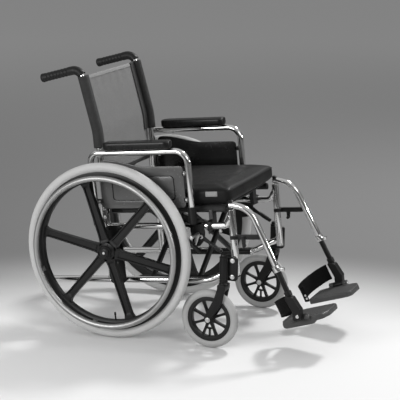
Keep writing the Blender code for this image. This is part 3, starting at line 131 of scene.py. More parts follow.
# A section of (side, over) offsets carried along a path, times that point's swell.
def sweptShell(path, section, swell=1.0, up=(1, 0, 0), closed=False, caps="fan"):
    path = np.asarray(path, float)
    ahead = unit(np.roll(path, -1, 0) - np.roll(path, 1, 0) if closed else np.gradient(path, axis=0))
    across = unit(np.cross(ahead, up))
    over = np.cross(across, ahead)
    section = np.broadcast_to(section, (len(path),) + np.shape(section)[-2:])
    size = np.broadcast_to(swell, (len(path),))[:, None, None]
    rows = path[:, None] + size * (across[:, None] * section[..., :1] + over[:, None] * section[..., 1:])
    return gridShell(rows, closed, caps)


# A round bar whose ends turn in over a quarter circle of the given edge.
def tubeShell(path, radius, edge=0.0012, count=28, up=(1, 0, 0)):
    path = np.asarray(path, float)
    radius = np.broadcast_to(radius, (len(path),)).astype(float)
    turn = np.linspace(0, np.pi / 2, 4 if edge < radius[0] / 2 else 8)
    run, inset = edge * (1 - np.cos(turn)), edge * (1 - np.sin(turn))
    head = path[0] + unit(path[1] - path[0]) * run[:, None]
    foot = path[-1] - unit(path[-1] - path[-2]) * run[::-1, None]
    points = np.concatenate([head, path[1:-1], foot])
    swell = np.concatenate([radius[0] - inset, radius[1:-1], radius[-1] - inset[::-1]])
    return sweptShell(points, circle(1.0, count), swell, up)


# Straight runs joined by arcs: each arc is centre + first * cos(t) + heading * radius * sin(t).
def bentPath(corners, radii, step=6):
    corners = np.asarray(corners, float)
    path = [corners[:1]]
    for before, corner, after, radius in zip(corners, corners[1:], corners[2:], radii):
        back, ahead = unit(before - corner), unit(after - corner)
        half = np.arccos(np.clip(back @ ahead, -1, 1)) / 2
        bend = np.pi - 2 * half
        centre = corner + unit(back + ahead) * radius / np.sin(half)
        first = corner + back * radius / np.tan(half) - centre
        t = np.linspace(0, bend, max(2, int(np.degrees(bend) / step) + 2))[:, None]
        path.append(centre + first * np.cos(t) - back * radius * np.sin(t))
    return np.concatenate(path + [corners[-1:]])


# The running length at each point of a path: the sum of its steps so far.
def runAlong(path):
    return np.concatenate([[0], np.cumsum(np.linalg.norm(np.diff(path, axis=0), axis=-1))])


# A path's points at the given running lengths.
def pathAt(path, run, spots):
    return np.stack([np.interp(spots, run, path[:, k]) for k in range(3)], -1)


# Even steps along a path, found by its running length.
def evenPath(path, step):
    run = runAlong(path)
    spots = np.linspace(0, run[-1], int(run[-1] / step) + 2)
    return pathAt(path, run, spots), spots


# A profile of (along, radius) turned about an axis through the centre.
def turnedShell(centre, axis, profile, count=48, ring=False):
    axis = unit(axis)
    over = unit(np.cross(axis, (0, 0, 1) if abs(axis[2]) < 0.9 else (1, 0, 0)))
    beside = np.cross(axis, over)
    turn = np.arange(count) * tau / count
    spokes = np.cos(turn)[:, None] * over + np.sin(turn)[:, None] * beside
    profile = np.asarray(profile, float)
    rows = np.asarray(centre) + profile[:, :1, None] * axis + profile[:, 1:, None] * spokes
    return gridShell(rows, ring)


# A profile followed by its mirror image in reverse.
def mirrored(profile):
    return profile + [(-along, radius) for along, radius in reversed(profile)]


# A closed outline with an arc at each corner, never longer than its share of the two edges.
def softOutline(corners, radius, steps=4):
    corners = np.asarray(corners, float)
    toBack, toAhead = np.roll(corners, 1, 0) - corners, np.roll(corners, -1, 0) - corners
    back, ahead = unit(toBack), unit(toAhead)
    half = np.arccos(np.clip(np.sum(back * ahead, -1), -0.9999, 0.9999)) / 2
    room = 0.46 * np.minimum(np.linalg.norm(toBack, axis=-1), np.linalg.norm(toAhead, axis=-1))
    reach = np.minimum(np.asarray(radius) / np.tan(half), room)[:, None]
    size = reach * np.tan(half)[:, None]
    centre = corners + unit(back + ahead) * size / np.sin(half)[:, None]
    t = np.linspace(0, 1, steps + 1)[None, :, None] * (np.pi - 2 * half)[:, None, None]
    first = (corners + back * reach - centre)[:, None]
    arcs = centre[:, None] + first * np.cos(t) - back[:, None] * size[:, None] * np.sin(t)
    return arcs.reshape(-1, 2)


# A rectangle between two places along each axis, with rounded corners.
def boxOutline(a0, a1, h0, h1, radius, steps=5):
    return softOutline([(a0, h0), (a1, h0), (a1, h1), (a0, h1)], radius, steps)


# The outline moved inwards along its own normals, which are its turned tangents.
def drawnIn(outline, inset):
    ahead = unit(np.roll(outline, -1, 0) - np.roll(outline, 1, 0))
    x, y = outline.T
    area = np.sum(x * np.roll(y, -1) - y * np.roll(x, -1))
    outwards = np.stack([ahead[:, 1], -ahead[:, 0]], -1) * np.sign(area)
    return outline - outwards * inset


# An outline carried along one axis: each level holds its place there and how far the outline is drawn in.
def levelShell(outline, levels, place=datum, side=1, axis=0):
    rows = [np.insert(drawnIn(outline, inset), axis, level, axis=-1) for level, inset in levels]
    return gridShell(place(np.array(rows), side), caps="flat")


# A plate between two planes across an axis, x unless told otherwise; both rims turn in by a quarter circle.
def plateShell(outline, start, end, edge=0.0008, place=datum, side=1, steps=3, axis=0):
    turn = np.linspace(0, np.pi / 2, steps + 1)
    run, inset = edge * (1 - np.cos(turn)), edge * (1 - np.sin(turn))
    levels = [*zip(start + run, inset), *zip(end - run[::-1], inset[::-1])]
    return levelShell(outline, levels, place, side, axis)


# The line where a round tube meets another: the branch's circle is slid along its own axis to the
# distance s that solves |q + s d| = R across the trunk's axis. A small wavy bead follows it.
def beadShell(joint, trunk, trunkRadius, branch, branchRadius, bead=0.0022, count=96):
    trunk, branch = unit(trunk), unit(branch)
    u = unit(np.cross(branch, trunk))
    v = np.cross(branch, u)
    turn = np.arange(count) * tau / count
    q = branchRadius * (np.cos(turn)[:, None] * u + np.sin(turn)[:, None] * v)
    flatQ, flatD = q - (q @ trunk)[:, None] * trunk, branch - (branch @ trunk) * trunk
    a, b = flatD @ flatD, flatQ @ flatD
    c = np.sum(flatQ * flatQ, -1) - trunkRadius ** 2
    slide = (-b + np.sqrt(np.maximum(b * b - a * c, 0))) / a
    path = np.asarray(joint) + q + slide[:, None] * branch
    ripple = 1 + 0.16 * np.sin(turn * 16)
    return sweptShell(path, circle(bead, 8), ripple, up=branch, closed=True)


# A hexagon head with its corners turned in, on a thin washer.
def boltShells(spot, axis, radius=0.0065, height=0.004):
    lift, wide = 0.0010, radius * 1.35
    head = [(lift, radius), (lift + height * 0.75, radius), (lift + height, radius * 0.86)]
    washer = [(-0.0005, wide), (0.0007, wide), (0.001, wide - 0.0004)]
    return [turnedShell(spot, axis, head, 6), turnedShell(spot, axis, washer, 28)]


# A domed screw head with a round socket sunk in it.
def screwShell(spot, axis, radius=0.0042, height=0.0022):
    profile = [(-0.001 / height, 1), (0, 1), (0.5, 0.97), (0.8, 0.82), (1, 0.5), (1, 0.44), (0.3, 0.40)]
    return turnedShell(spot, axis, np.array(profile) * (height, radius), 20)


# Pieces


def linked(name, data):
    thing = bpy.data.objects.new(name, data)
    bpy.context.scene.collection.objects.link(thing)
    return thing


# An object of the mesh in one finish, smooth except where two faces meet at more than the sharp angle.
def finishedPiece(mesh, finish, sharp=34):
    mesh.materials.append(materials[finish])
    mesh.update()
    mesh.shade_smooth()
    mesh.set_sharp_from_angle(angle=np.radians(sharp))
    return linked(mesh.name, mesh)


# Closed shells joined into one mesh: each shell's faces count on from the points of those before it.
def makePiece(name, shells, finish, sharp=34):
    start, points, faces = 0, [], []
    for shellPoints, shellFaces in shells:
        points.append(shellPoints)
        for group in shellFaces:
            faces += (group + start).tolist()
        start += len(shellPoints)
    mesh = bpy.data.meshes.new(name)
    mesh.from_pydata(np.concatenate(points).tolist(), [], faces)
    return finishedPiece(mesh, finish, sharp)


# What a piece moves with and the CAD nodes that it stands for; its colour slot is not used.
def settle(piece, body, slot, *stoodFor):
    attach(piece, body)
    if stoodFor:
        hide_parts(*stoodFor)
    return piece


# A piece in its finish that rides on a body and stands for the CAD nodes named last.
def addPiece(name, shells, finish, body, *stoodFor, sharp=34):
    return settle(makePiece(name, shells, finish, sharp), body, finishes[finish]["slot"], *stoodFor)


# A CAD node's own shape, merged, with its flat parts made whole and its edges broken.
def refined(node, body, finish, edge=0.0007):
    bm = bmesh.new()
    bm.from_mesh(nodes[node].data)
    bmesh.ops.remove_doubles(bm, verts=bm.verts, dist=1e-6)
    bmesh.ops.dissolve_limit(bm, angle_limit=np.radians(0.6), verts=bm.verts, edges=bm.edges)
    mesh = bpy.data.meshes.new(node + "_finished")
    bm.to_mesh(mesh)
    bm.free()
    piece = finishedPiece(mesh, finish)
    bevel = piece.modifiers.new("brokenEdges", "BEVEL")
    bevel.width, bevel.segments, bevel.limit_method, bevel.angle_limit = edge, 2, "ANGLE", np.radians(38)
    return settle(piece, body, finishes[finish]["slot"], node)


# One UV for each point, given to every face corner that uses the point.
def layUv(mesh, uv):
    loops = np.empty(len(mesh.loops), int)
    mesh.loops.foreach_get("vertex_index", loops)
    layer = mesh.uv_layers.new(name="UVMap")
    layer.data.foreach_set("uv", uv.reshape(-1, 2)[loops].astype(np.float32).ravel())


# A grid of cloth, given a thickness, with UVs in metres from its places across and along.
def clothPiece(name, rows, across, along, finish, thick):
    count, columns = rows.shape[:2]
    mesh = bpy.data.meshes.new(name)
    mesh.from_pydata(rows.reshape(-1, 3).tolist(), [], gridQuads(count, columns, False, False).tolist())
    layUv(mesh, np.stack(np.broadcast_arrays(across, along), -1))
    piece = finishedPiece(mesh, finish, 60)
    wall = piece.modifiers.new("clothWall", "SOLIDIFY")
    wall.thickness, wall.offset, wall.use_even_offset = thick, 0.0, True
    return piece


# Each maker builds its pieces for the left side, then for the right.
def bothSides(stage, *makers):
    for label, side in sides.items():
        for maker in makers:
            maker(label, side)
    print(f"wheelchair: {stage} made")


# Materials


def newGroup(name, inputs, outputs):
    group = bpy.data.node_groups.new(name, "ShaderNodeTree")
    for label, value in inputs:
        kind = "NodeSocketColor" if hasattr(value, "__len__") else "NodeSocketFloat"
        group.interface.new_socket(label, in_out="INPUT", socket_type=kind).default_value = value
    for label, kind in outputs:
        group.interface.new_socket(label, in_out="OUTPUT", socket_type=f"NodeSocket{kind}")
    return group, group.nodes.new("NodeGroupInput").outputs, group.nodes.new("NodeGroupOutput").inputs


# A shader node with its settings; a value is either linked, if it is a socket, or set.
def addNode(tree, kind, values=None, **settings):
    node = tree.nodes.new(f"ShaderNode{kind}")
    for key, value in settings.items():
        setattr(node, key, value)
    for key, value in (values or {}).items():
        if isinstance(value, bpy.types.NodeSocket):
            tree.links.new(value, node.inputs[key])
        else:
            node.inputs[key].default_value = value
    return node


def addMath(tree, operation, *values):
    return addNode(tree, "Math", dict(enumerate(values)), operation=operation).outputs[0]


def objectNoise(tree, scale, detail, roughness=0.5):
    spot = addNode(tree, "TexCoord").outputs["Object"]
    values = {"Vector": spot, "Scale": scale, "Detail": detail, "Roughness": roughness}
    return addNode(tree, "TexNoise", values).outputs["Fac"]


# Slow changes of tone over a surface: two colours mixed by layered noise.
def makeMottle():
    group, entry, leave = newGroup(
        "toneDrift", [("Light", (1, 1, 1, 1)), ("Dark", (0, 0, 0, 1)), ("Scale", 20.0)], [("Color", "Color")])
    noise = objectNoise(group, entry["Scale"], 6.0, 0.6)
    mix = addNode(group, "Mix", {0: noise, 6: entry["Dark"], 7: entry["Light"]}, data_type="RGBA")
    group.links.new(mix.outputs[2], leave["Color"])
    return group


# Handling marks: fine noise laid over broad noise, stretched between a low and a high roughness.
def makeSmudges():
    group, entry, leave = newGroup(
        "handlingMarks", [("Low", 0.1), ("High", 0.3), ("Scale", 30.0)], [("Value", "Float")])
    broad = objectNoise(group, entry["Scale"], 4.0)
    fine = objectNoise(group, addMath(group, "MULTIPLY", entry["Scale"], 7.3), 3.0)
    both = addMath(group, "ADD", broad, fine)
    low, high = entry["Low"], entry["High"]
    values = {"Value": both, "From Min": 0.75, "From Max": 1.3, "To Min": low, "To Max": high}
    group.links.new(addNode(group, "MapRange", values).outputs["Result"], leave["Value"])
    return group


# The pitted face of moulded plastic, paint or rubber: small cells and still smaller noise.
def makeGrain():
    group, entry, leave = newGroup("mouldGrain", [("Scale", 900.0), ("Cells", 0.5)], [("Height", "Float")])
    spot = addNode(group, "TexCoord").outputs["Object"]
    cells = addNode(group, "TexVoronoi", {"Vector": spot, "Scale": entry["Scale"]}).outputs["Distance"]
    noise = objectNoise(group, entry["Scale"], 3.0)
    mix = addNode(group, "Mix", {0: entry["Cells"], 2: noise, 3: cells})
    group.links.new(mix.outputs[0], leave["Height"])
    return group


# Over-and-under threads: the sine of one direction shows where a checker is dark, the other's where light. The
# product of the two sines is low in the gaps between threads, where the colour is darkened as painted shade.
def makeWeave():
    group, entry, leave = newGroup(
        "threadWeave", [("Across", 900.0), ("Along", 900.0)], [("Height", "Float"), ("PaintedGapShade", "Float")])
    parts = addNode(group, "SeparateXYZ", {0: addNode(group, "TexCoord").outputs["UV"]}).outputs
    pairs = (("X", "Across"), ("Y", "Along"))
    runs = [addMath(group, "MULTIPLY", parts[axis], entry[rate]) for axis, rate in pairs]
    angles = [addMath(group, "MULTIPLY", run, np.pi) for run in runs]
    waves = [addMath(group, "ABSOLUTE", addMath(group, "SINE", angle)) for angle in angles]
    grid = addNode(group, "CombineXYZ", {0: runs[0], 1: runs[1], 2: 0.5}).outputs[0]
    checker = addNode(group, "TexChecker", {"Vector": grid, "Scale": 1.0}).outputs["Fac"]
    mix = addNode(group, "Mix", {0: checker, 2: waves[0], 3: waves[1]})
    group.links.new(mix.outputs[0], leave["Height"])
    group.links.new(addMath(group, "MULTIPLY", *waves), leave["PaintedGapShade"])
    return group


shared = {"drift": makeMottle(), "marks": makeSmudges(), "grain": makeGrain(), "weave": makeWeave()}

# slot: colour slot; tone: light and dark colour; drift and spread: scales of the tone and of the marks;
# marks: low and high roughness; grain: scale, share of cells, depth in metres; weave: threads across and
# along, depth; metal, coat, shine and sheen: the shader's own values
finishes = {
    "chrome": {"slot": "chrome", "tone": (0.69, 0.61), "drift": 14, "marks": (0.05, 0.14), "spread": 24,
               "grain": (160, 0.0, 0.00002), "metal": 1.0},
    "blackPaint": {"slot": "black_paint", "tone": (0.008, 0.005), "drift": 30, "marks": (0.34, 0.50),
                   "spread": 40, "grain": (1400, 0.3, 0.00005), "shine": 0.22},
    "blackPlastic": {"slot": "black_plastic", "tone": (0.008, 0.005), "drift": 25, "marks": (0.34, 0.50),
                     "spread": 35, "grain": (1500, 0.6, 0.00005), "shine": 0.30},
    # treadPlasticPaintedSheen: black plastic made grey, a painted sheen for the grey its top shows at a
    # grazing view
    "treadPlasticPaintedSheen": {"slot": "black_plastic", "tone": (0.052, 0.036), "drift": 25, "marks": (0.40, 0.56),
                     "spread": 35, "grain": (1300, 0.7, 0.00008), "shine": 0.42},
    "gripRubber": {"slot": "grip_rubber", "tone": (0.010, 0.006), "drift": 40, "marks": (0.42, 0.60),
                   "spread": 60, "grain": (1100, 0.9, 0.00012), "shine": 0.25},
    "handrimAlloy": {"slot": "handrim_alloy", "tone": (0.40, 0.34), "drift": 12, "marks": (0.40, 0.54),
                     "spread": 30, "grain": (700, 0.1, 0.00003), "metal": 1.0},
    "greyTyre": {"slot": "grey_tyre", "tone": (0.53, 0.45), "drift": 22, "marks": (0.62, 0.82), "spread": 30,
                 "grain": (1200, 0.5, 0.00009)},
    # casterTyre: the same grey rubber as the rear tyres made darker, a painted shade for the casters lying in
    # shadow
    "casterTyre": {"slot": "grey_tyre", "tone": (0.38, 0.31), "drift": 26, "marks": (0.62, 0.82), "spread": 30,
                   "grain": (1200, 0.5, 0.00009)},
    "steel": {"slot": "steel", "tone": (0.66, 0.56), "drift": 60, "marks": (0.20, 0.42), "spread": 70,
              "grain": (900, 0.3, 0.00003), "metal": 1.0},
    "seatVinyl": {"slot": "seat_vinyl", "tone": (0.011, 0.007), "drift": 9, "marks": (0.38, 0.52),
                  "spread": 20, "grain": (620, 0.8, 0.00016), "shine": 0.12},
    "padFoam": {"slot": "seat_vinyl", "tone": (0.010, 0.007), "drift": 12, "marks": (0.24, 0.36), "spread": 30,
                "grain": (800, 0.7, 0.00010), "shine": 0.22},
    "backCloth": {"slot": "back_cloth", "tone": (0.165, 0.130), "drift": 6, "marks": (0.70, 0.88),
                  "spread": 18, "weave": (1100, 1100, 0.00022), "sheen": 0.35},
    "blackCloth": {"tone": (0.021, 0.013), "drift": 10, "marks": (0.66, 0.86), "spread": 18,
                   "weave": (1300, 1300, 0.00020), "sheen": 0.06},
    "hemCloth": {"tone": (0.25, 0.20), "drift": 12, "marks": (0.66, 0.86), "spread": 18,
                 "weave": (1500, 900, 0.00020), "sheen": 0.30},
    "tabCloth": {"tone": (0.34, 0.28), "drift": 30, "marks": (0.66, 0.86), "spread": 40,
                 "weave": (1600, 1600, 0.00012), "sheen": 0.15},
    "sidePanel": {"slot": "side_panel_plastic", "tone": (0.008, 0.005), "drift": 8, "marks": (0.20, 0.30),
                  "spread": 14, "grain": (500, 0.2, 0.00001), "coat": 0.15, "shine": 0.3},
    # panelFacePaintedSheen: the side panel's outer face in a lighter grey, a painted sheen for the light it
    # reflects
    "panelFacePaintedSheen": {"tone": (0.080, 0.062), "drift": 5, "marks": (0.20, 0.30), "spread": 14,
                  "grain": (900, 0.5, 0.00002), "coat": 0.22},
    "webbing": {"tone": (0.006, 0.004), "drift": 20, "marks": (0.70, 0.90), "spread": 40,
                "weave": (900, 420, 0.00040), "shine": 0.10},
}


# A finish: drifting tone, handling marks in the roughness, and grain or weave as the bump's height; a weave
# also darkens the colour in its gaps as painted shade.
def makeMaterial(name, look):
    material = bpy.data.materials.new(name)
    material.use_nodes = True
    tree = material.node_tree
    shader = tree.nodes["Principled BSDF"]

    def place(kind, values):
        return addNode(tree, "Group", values, node_tree=shared[kind]).outputs

    light, dark = look["tone"]
    warm = 0.985
    tones = {"Light": (light, light, light, 1), "Dark": (dark, dark, dark * warm, 1), "Scale": look["drift"]}
    colour = place("drift", tones)["Color"]
    low, high = look["marks"]
    marks = place("marks", {"Low": low, "High": high, "Scale": look["spread"]})
    if "weave" in look:
        across, along, depth = look["weave"]
        weave = place("weave", {"Across": across, "Along": along})
        height = weave["Height"]
        # the colour is darkened in the gaps between the threads: painted shade
        values = {"Value": weave["PaintedGapShade"], "From Min": 0.0, "From Max": 0.5, "To Min": 0.55, "To Max": 1.0}
        shade = addNode(tree, "MapRange", values).outputs["Result"]
        mixed = {0: 1.0, 6: colour, 7: shade}
        colour = addNode(tree, "Mix", mixed, data_type="RGBA", blend_type="MULTIPLY").outputs[2]
    else:
        scale, cells, depth = look["grain"]
        height = place("grain", {"Scale": scale, "Cells": cells})["Height"]
    bump = addNode(tree, "Bump", {"Height": height, "Strength": 0.6, "Distance": depth})
    tree.links.new(colour, shader.inputs["Base Color"])
    tree.links.new(marks["Value"], shader.inputs["Roughness"])
    tree.links.new(bump.outputs["Normal"], shader.inputs["Normal"])
    shader.inputs["Metallic"].default_value = look.get("metal", 0.0)
    shader.inputs["Coat Weight"].default_value = look.get("coat", 0.0)
    shader.inputs["Coat Roughness"].default_value = 0.12
    shader.inputs["Specular IOR Level"].default_value = look.get("shine", 0.5)
    shader.inputs["Sheen Weight"].default_value = look.get("sheen", 0.0)
    shader.inputs["Sheen Roughness"].default_value = 0.45
    return material


materials = {name: makeMaterial(name, look) for name, look in finishes.items()}
print("wheelchair: materials made")


# Side frames

frameSize = {
    "half": 0.214, "tube": 0.01125, "post": 0.0125, "lowerRail": -0.118, "upperRail": 0.070,
    "railTail": -0.285, "rearPost": -0.030, "frontPost": 0.436, "frontTop": 0.1255, "frontFoot": -0.100,
    "kick": 0.043, "kickRun": 0.101, "kickBend": 0.080, "bend": 0.022, "bendRise": 0.036, "rearTop": 0.150,
    "socketSpot": (0.243, -0.052), "socketSpan": (0.0795, 0.1400), "socket": 0.0146, "webEnd": (0.239, -0.049),
    "webHeight": 0.0955, "web": 0.008, "boltHeights": (0.104, 0.134)}


# Two rails and two posts, with weld beads where they meet.
def sideFrame(label, side):
    f = frameSize
    body, x, rear, front = f"{label}_frame", f["half"], f["rearPost"], f["frontPost"]
    low, high = f["lowerRail"], f["upperRail"]
    tail, foot = (x, f["railTail"], low), (x, front, f["frontFoot"])
    kickEnd, bendEnd = (x, front, low + f["kick"]), (x, front, high + f["bendRise"])
    lower = bentPath([tail, (x, front - f["kickRun"], low), kickEnd], [f["kickBend"]])
    upper = bentPath([(x, rear, high), (x, front - f["bend"], high), bendEnd], [f["bend"]])
    tubes = [(lower, f["tube"]), (upper, f["tube"]), ([foot, (x, front, f["frontTop"])], f["post"]),
             ([(x, rear, low), (x, rear, f["rearTop"])], f["post"])]
    shells = [tubeShell(datum(path, side), radius) for path, radius in tubes]
    kickWay = -unit(frameAhead * f["kickRun"] + frameUp * f["kick"])
    bendWay = -unit(frameAhead * f["bend"] + frameUp * f["bendRise"])
    joints = [((x, rear, high), frameUp, frameAhead), (bendEnd, frameUp, bendWay), (kickEnd, frameUp, kickWay)]
    for spot, trunk, branch in joints:
        shells.append(beadShell(datum(spot, side), trunk, f["post"], branch, f["tube"]))
    shells.append(beadShell(datum((x, rear, low), side), frameAhead, f["tube"], frameUp, f["post"]))
    # the socket for the arm's rear end, with its web
    socket = [(*f["socketSpot"], h) for h in f["socketSpan"]]
    shells.append(tubeShell(datum(socket, side), f["socket"]))
    web = [(x, rear, f["webHeight"]), (*f["webEnd"], f["webHeight"])]
    shells.append(tubeShell(datum(web, side), f["web"], up=frameUp))
    addPiece(f"frame_tubes_{label}", shells, "chrome", body, f"side_frame_{label}")
    braceEars(label, side)

    # plugs in the open ends of the lower rail and the front post, and a collar on the rear post
    plugs = []
    for spot, way, radius in ((tail, -frameAhead, f["tube"]), (foot, -frameUp, f["post"])):
        steps = [(-0.004, -0.0016), (-0.0002, -0.0016), (0.0, 0.0002), (0.0026, 0.0002), (0.0046, -0.0016),
                 (0.0054, -0.0050)]
        dome = [(along, radius + more) for along, more in steps]
        plugs.append(turnedShell(datum(spot, side), way, dome, 36))
    collar = [(-0.001, 0.0128), (0.0, 0.0136), (0.004, 0.0136), (0.0056, 0.0118)]
    plugs.append(turnedShell(datum((x, rear, f["rearTop"] - 0.001), side), frameUp, collar, 40))
    addPiece(f"tube_plugs_{label}", plugs, "blackPlastic", body)

    # bolts through the rear post
    bolts = []
    for h in f["boltHeights"]:
        bolts += boltShells(datum((x + 0.0122, rear, h), side), (side, 0, 0), 0.0050, 0.003)
    addPiece(f"post_bolts_{label}", bolts, "steel", body)


earSize = {
    "outline": [(0.181, -0.127), (0.205, -0.127), (0.2135, -0.124), (0.2135, -0.112), (0.205, -0.109),
                (0.181, -0.109)],
    "corner": 0.005, "soft": 0.0007, "near": 0.0005, "far": 0.0065, "pivot": (0.190, -0.118),
    "places": ((0.070, -1), (0.330, 1)), "pin": 0.0045, "pinRun": 0.017}


# Ears for the brace, with their pins; a place is a and the way in which the ear looks along the frame.
def braceEars(label, side):
    e = earSize
    (x, h), soft = e["pivot"], e["soft"]
    outline = softOutline(e["outline"], e["corner"])
    shells = []
    for a, way in e["places"]:
        a0, a1 = sorted((a + way * e["near"], a + way * e["far"]))
        levels = [(a0, soft), (a0 + soft, 0), (a1 - soft, 0), (a1, soft)]
        shells.append(levelShell(outline, levels, datum, side, 1))
        pin = [(x, a - way * e["pinRun"], h), (x, a, h)]
        shells.append(tubeShell(datum(pin, side), e["pin"], 0.0006, 20))
        shells += boltShells(datum((x, a + way * e["far"], h), side), frameAhead * way, 0.0062, 0.0035)
    addPiece(f"brace_ears_{label}", shells, "chrome", f"{label}_frame")


caneSize = {
    "radius": 0.0110, "bendHeight": 0.400, "lean": np.radians(10), "top": 0.618, "handle": 0.150,
    "handleBend": 0.034, "curve": 0.25, "gripTurn": np.radians(71), "grip": 0.0150, "ridge": 0.0010,
    "ridges": 7, "plain": 0.012, "lip": 0.0006}


# The cane's centre line: up from the rear post, leaning back, then round into the push handle.
def caneLine(side, step=3):
    c, x, rear = caneSize, frameSize["half"], frameSize["rearPost"]
    topA = rear - np.tan(c["lean"]) * (c["top"] - c["bendHeight"])
    endA, endH = topA - c["handle"] * np.cos(c["lean"]), c["top"] - c["handle"] * np.sin(c["lean"])
    foot = (x, rear, frameSize["rearTop"] + 0.0003)
    corners = [foot, (x, rear, c["bendHeight"]), (x, topA, c["top"]), (x, endA, endH)]
    return bentPath(datum(corners, side), [c["curve"], c["handleBend"]], step)


# The chromed cane and the rubber grip over its end.
def backCane(label, side):
    c = caneSize
    body = f"{label}_frame"
    cane = tubeShell(caneLine(side), c["radius"], 0.001)
    addPiece(f"back_tube_{label}", [cane], "chrome", body, f"back_cane_{label}")
    line, run = evenPath(caneLine(side), 0.0008)
    straight, plain = c["handle"] - c["handleBend"], c["plain"]
    gripStart = run[-1] - straight - c["handleBend"] * c["gripTurn"]
    part = run >= gripStart
    path, run = line[part], run[part] - gripStart
    total = run[-1]
    # finger ridges: a raised cosine between the bend and the end, and a lip at each end
    ridged = (run > total - straight + plain) & (run < total - plain)
    phase = (run - (total - straight + plain)) * c["ridges"] / (straight - 2 * plain)
    radius = c["grip"] - ridged * c["ridge"] * (0.5 - 0.5 * np.cos(tau * phase)) ** 0.7
    lips = np.exp(-((run - 0.0025) / 0.0018) ** 2) + np.exp(-((total - run - 0.003) / 0.0025) ** 2)
    radius = radius + c["lip"] * lips
    # the rounded end: how far past the path, and how wide
    past, wide = [0.002, 0.0035, 0.0048], [0.0145, 0.0128, 0.0095]
    path = np.concatenate([path, path[-1] + unit(path[-1] - path[-2]) * np.array(past)[:, None]])
    radius = np.concatenate([radius, wide])
    grip = tubeShell(path, radius, 0.0012, 36)
    addPiece(f"handle_grip_{label}", [grip], "gripRubber", body, f"push_grip_{label}", sharp=50)


guideSize = {
    "outline": [(0.1755, 0.1225), (0.1740, 0.112), (0.1760, 0.0575), (0.2280, 0.0555), (0.2285, 0.0840),
                (0.2060, 0.0900), (0.2055, 0.1225)],
    "rail": (0.190, 0.122), "cup": 0.0124, "corner": 0.0020,
    "levels": [(0.3495, 0.0010), (0.3503, 0.0002), (0.3510, 0), (0.3630, 0), (0.3637, 0.0002),
               (0.3645, 0.0010)]}


# What is bolted to the frame. The saddle that the seat rail drops into is an outline carried along the rail.
def fittings(label, side):
    g, body = guideSize, f"{label}_frame"
    refined(f"axle_plate_{label}", body, "blackPaint", 0.0009)
    refined(f"arm_socket_{label}", body, "blackPlastic")
    turn = np.radians(np.linspace(0, -180, 15))
    cup = np.stack([np.cos(turn), np.sin(turn)], -1) * g["cup"] + g["rail"]
    outline = softOutline(np.concatenate([g["outline"], cup]), g["corner"], 2)
    saddle = levelShell(outline, g["levels"], datum, side, 1)
    addPiece(f"seat_saddle_{label}", [saddle], "blackPlastic", body, f"rail_guide_{label}")
    refined(f"lock_body_{label}", body, "blackPaint", 0.0006)


bothSides("side frames", sideFrame, backCane, fittings)


# Cross brace

braceSize = {
    "pivot": 0.190, "foot": -0.118, "top": 0.122, "tube": 0.0095, "base": (0.070, 0.330), "baseRadius": 0.0100,
    "rail": (-0.012, 0.414), "railRadius": 0.0110, "a": (0.112, 0.288), "b": (0.1316, 0.2684), "bolt": 0.0074,
    "pin": 0.004}


# Each half: a base tube low on one side, a seat rail high on the other and two tubes between them.
def crossBrace():
    b = braceSize
    foot, top = b["foot"], b["top"]
    middle = (foot + top) / 2
    for name, railSide in (("a", 1), ("b", -1)):
        body, baseX, railX = f"cross_brace_{name}", -railSide * b["pivot"], railSide * b["pivot"]
        base = [(baseX, a, foot) for a in b["base"]]
        rail = [(railX, a, top) for a in b["rail"]]
        shells = [tubeShell(datum(base), b["baseRadius"]), tubeShell(datum(rail), b["railRadius"])]
        for a in b[name]:
            low, high = datum([(baseX, a, foot), (railX, a, top)])
            shells.append(tubeShell([low, high], b["tube"], up=frameAhead))
            shells.append(beadShell(low, frameAhead, b["baseRadius"], high - low, b["tube"], 0.0018, 72))
            shells.append(beadShell(high, frameAhead, b["railRadius"], low - high, b["tube"], 0.0018, 72))
        addPiece(f"brace_tubes_{name}", shells, "blackPaint", body, f"brace_{name}")
        dome = [(-0.003, 0.0094), (0.0, 0.0112), (0.0016, 0.0110), (0.0026, 0.0080)]
        plugs = [turnedShell(datum(spot), frameAhead * way, dome, 32) for spot, way in zip(rail, (-1, 1))]
        addPiece(f"rail_plugs_{name}", plugs, "blackPlastic", body)
    for name, a0, a1 in (("rear", b["a"][0], b["b"][0]), ("front", b["b"][1], b["a"][1])):
        start, end = a0 - b["baseRadius"], a1 + b["baseRadius"]
        shells = boltShells(datum((0, start, middle)), -frameAhead, b["bolt"], 0.004)
        shells += boltShells(datum((0, end, middle)), frameAhead, b["bolt"], 0.004)
        pin = datum([(0, start, middle), (0, end + 0.007, middle)])
        shells.append(tubeShell(pin, b["pin"], 0.0008, 20))
        addPiece(f"brace_centre_bolt_{name}", shells, "steel", "cross_brace_a", f"brace_bolt_{name}")


crossBrace()
print("wheelchair: brace made")


# Rear wheels

wheelSize = {
    "half": 0.284, "radius": 0.305, "tyre": 0.0172, "grooves": (0.0, 0.30, 0.58), "grooveDepth": 0.0007,
    "rimInner": 0.243, "rimHalf": 0.0125, "lip": 0.0052, "spokes": 6, "turn": np.radians(10), "root": 0.030,
    "tip": 0.025, "thick": 0.020, "rib": 0.0045, "channel": 0.0060, "hub": 0.030, "hubHalf": 0.0265,
    "bearing": 0.020, "studs": 0.0250, "handrim": 0.2574, "handrimTube": 0.0095, "handrimOffset": 0.038,
    "valveTurn": np.radians(-96.6)}


# A tyre's ring: a round section whose tread has shallow grooves, cut by narrow bumps in the angle.
def tyreProfile(radius, section, grooves, depth, count=64):
    turn = np.arange(count) * tau / count
    around = np.angle(np.exp(1j * turn))
    places = [*grooves, *(-at for at in grooves if at)]
    cut = sum(np.exp(-((around - at) / 0.055) ** 2) for at in places)
    size = section - depth * cut
    return np.stack([size * np.sin(turn), radius - section + size * np.cos(turn)], -1)


# The outward direction at an angle about a wheel's axis.
def spokeWay(turn):
    return np.array([0, np.cos(turn), np.sin(turn)])


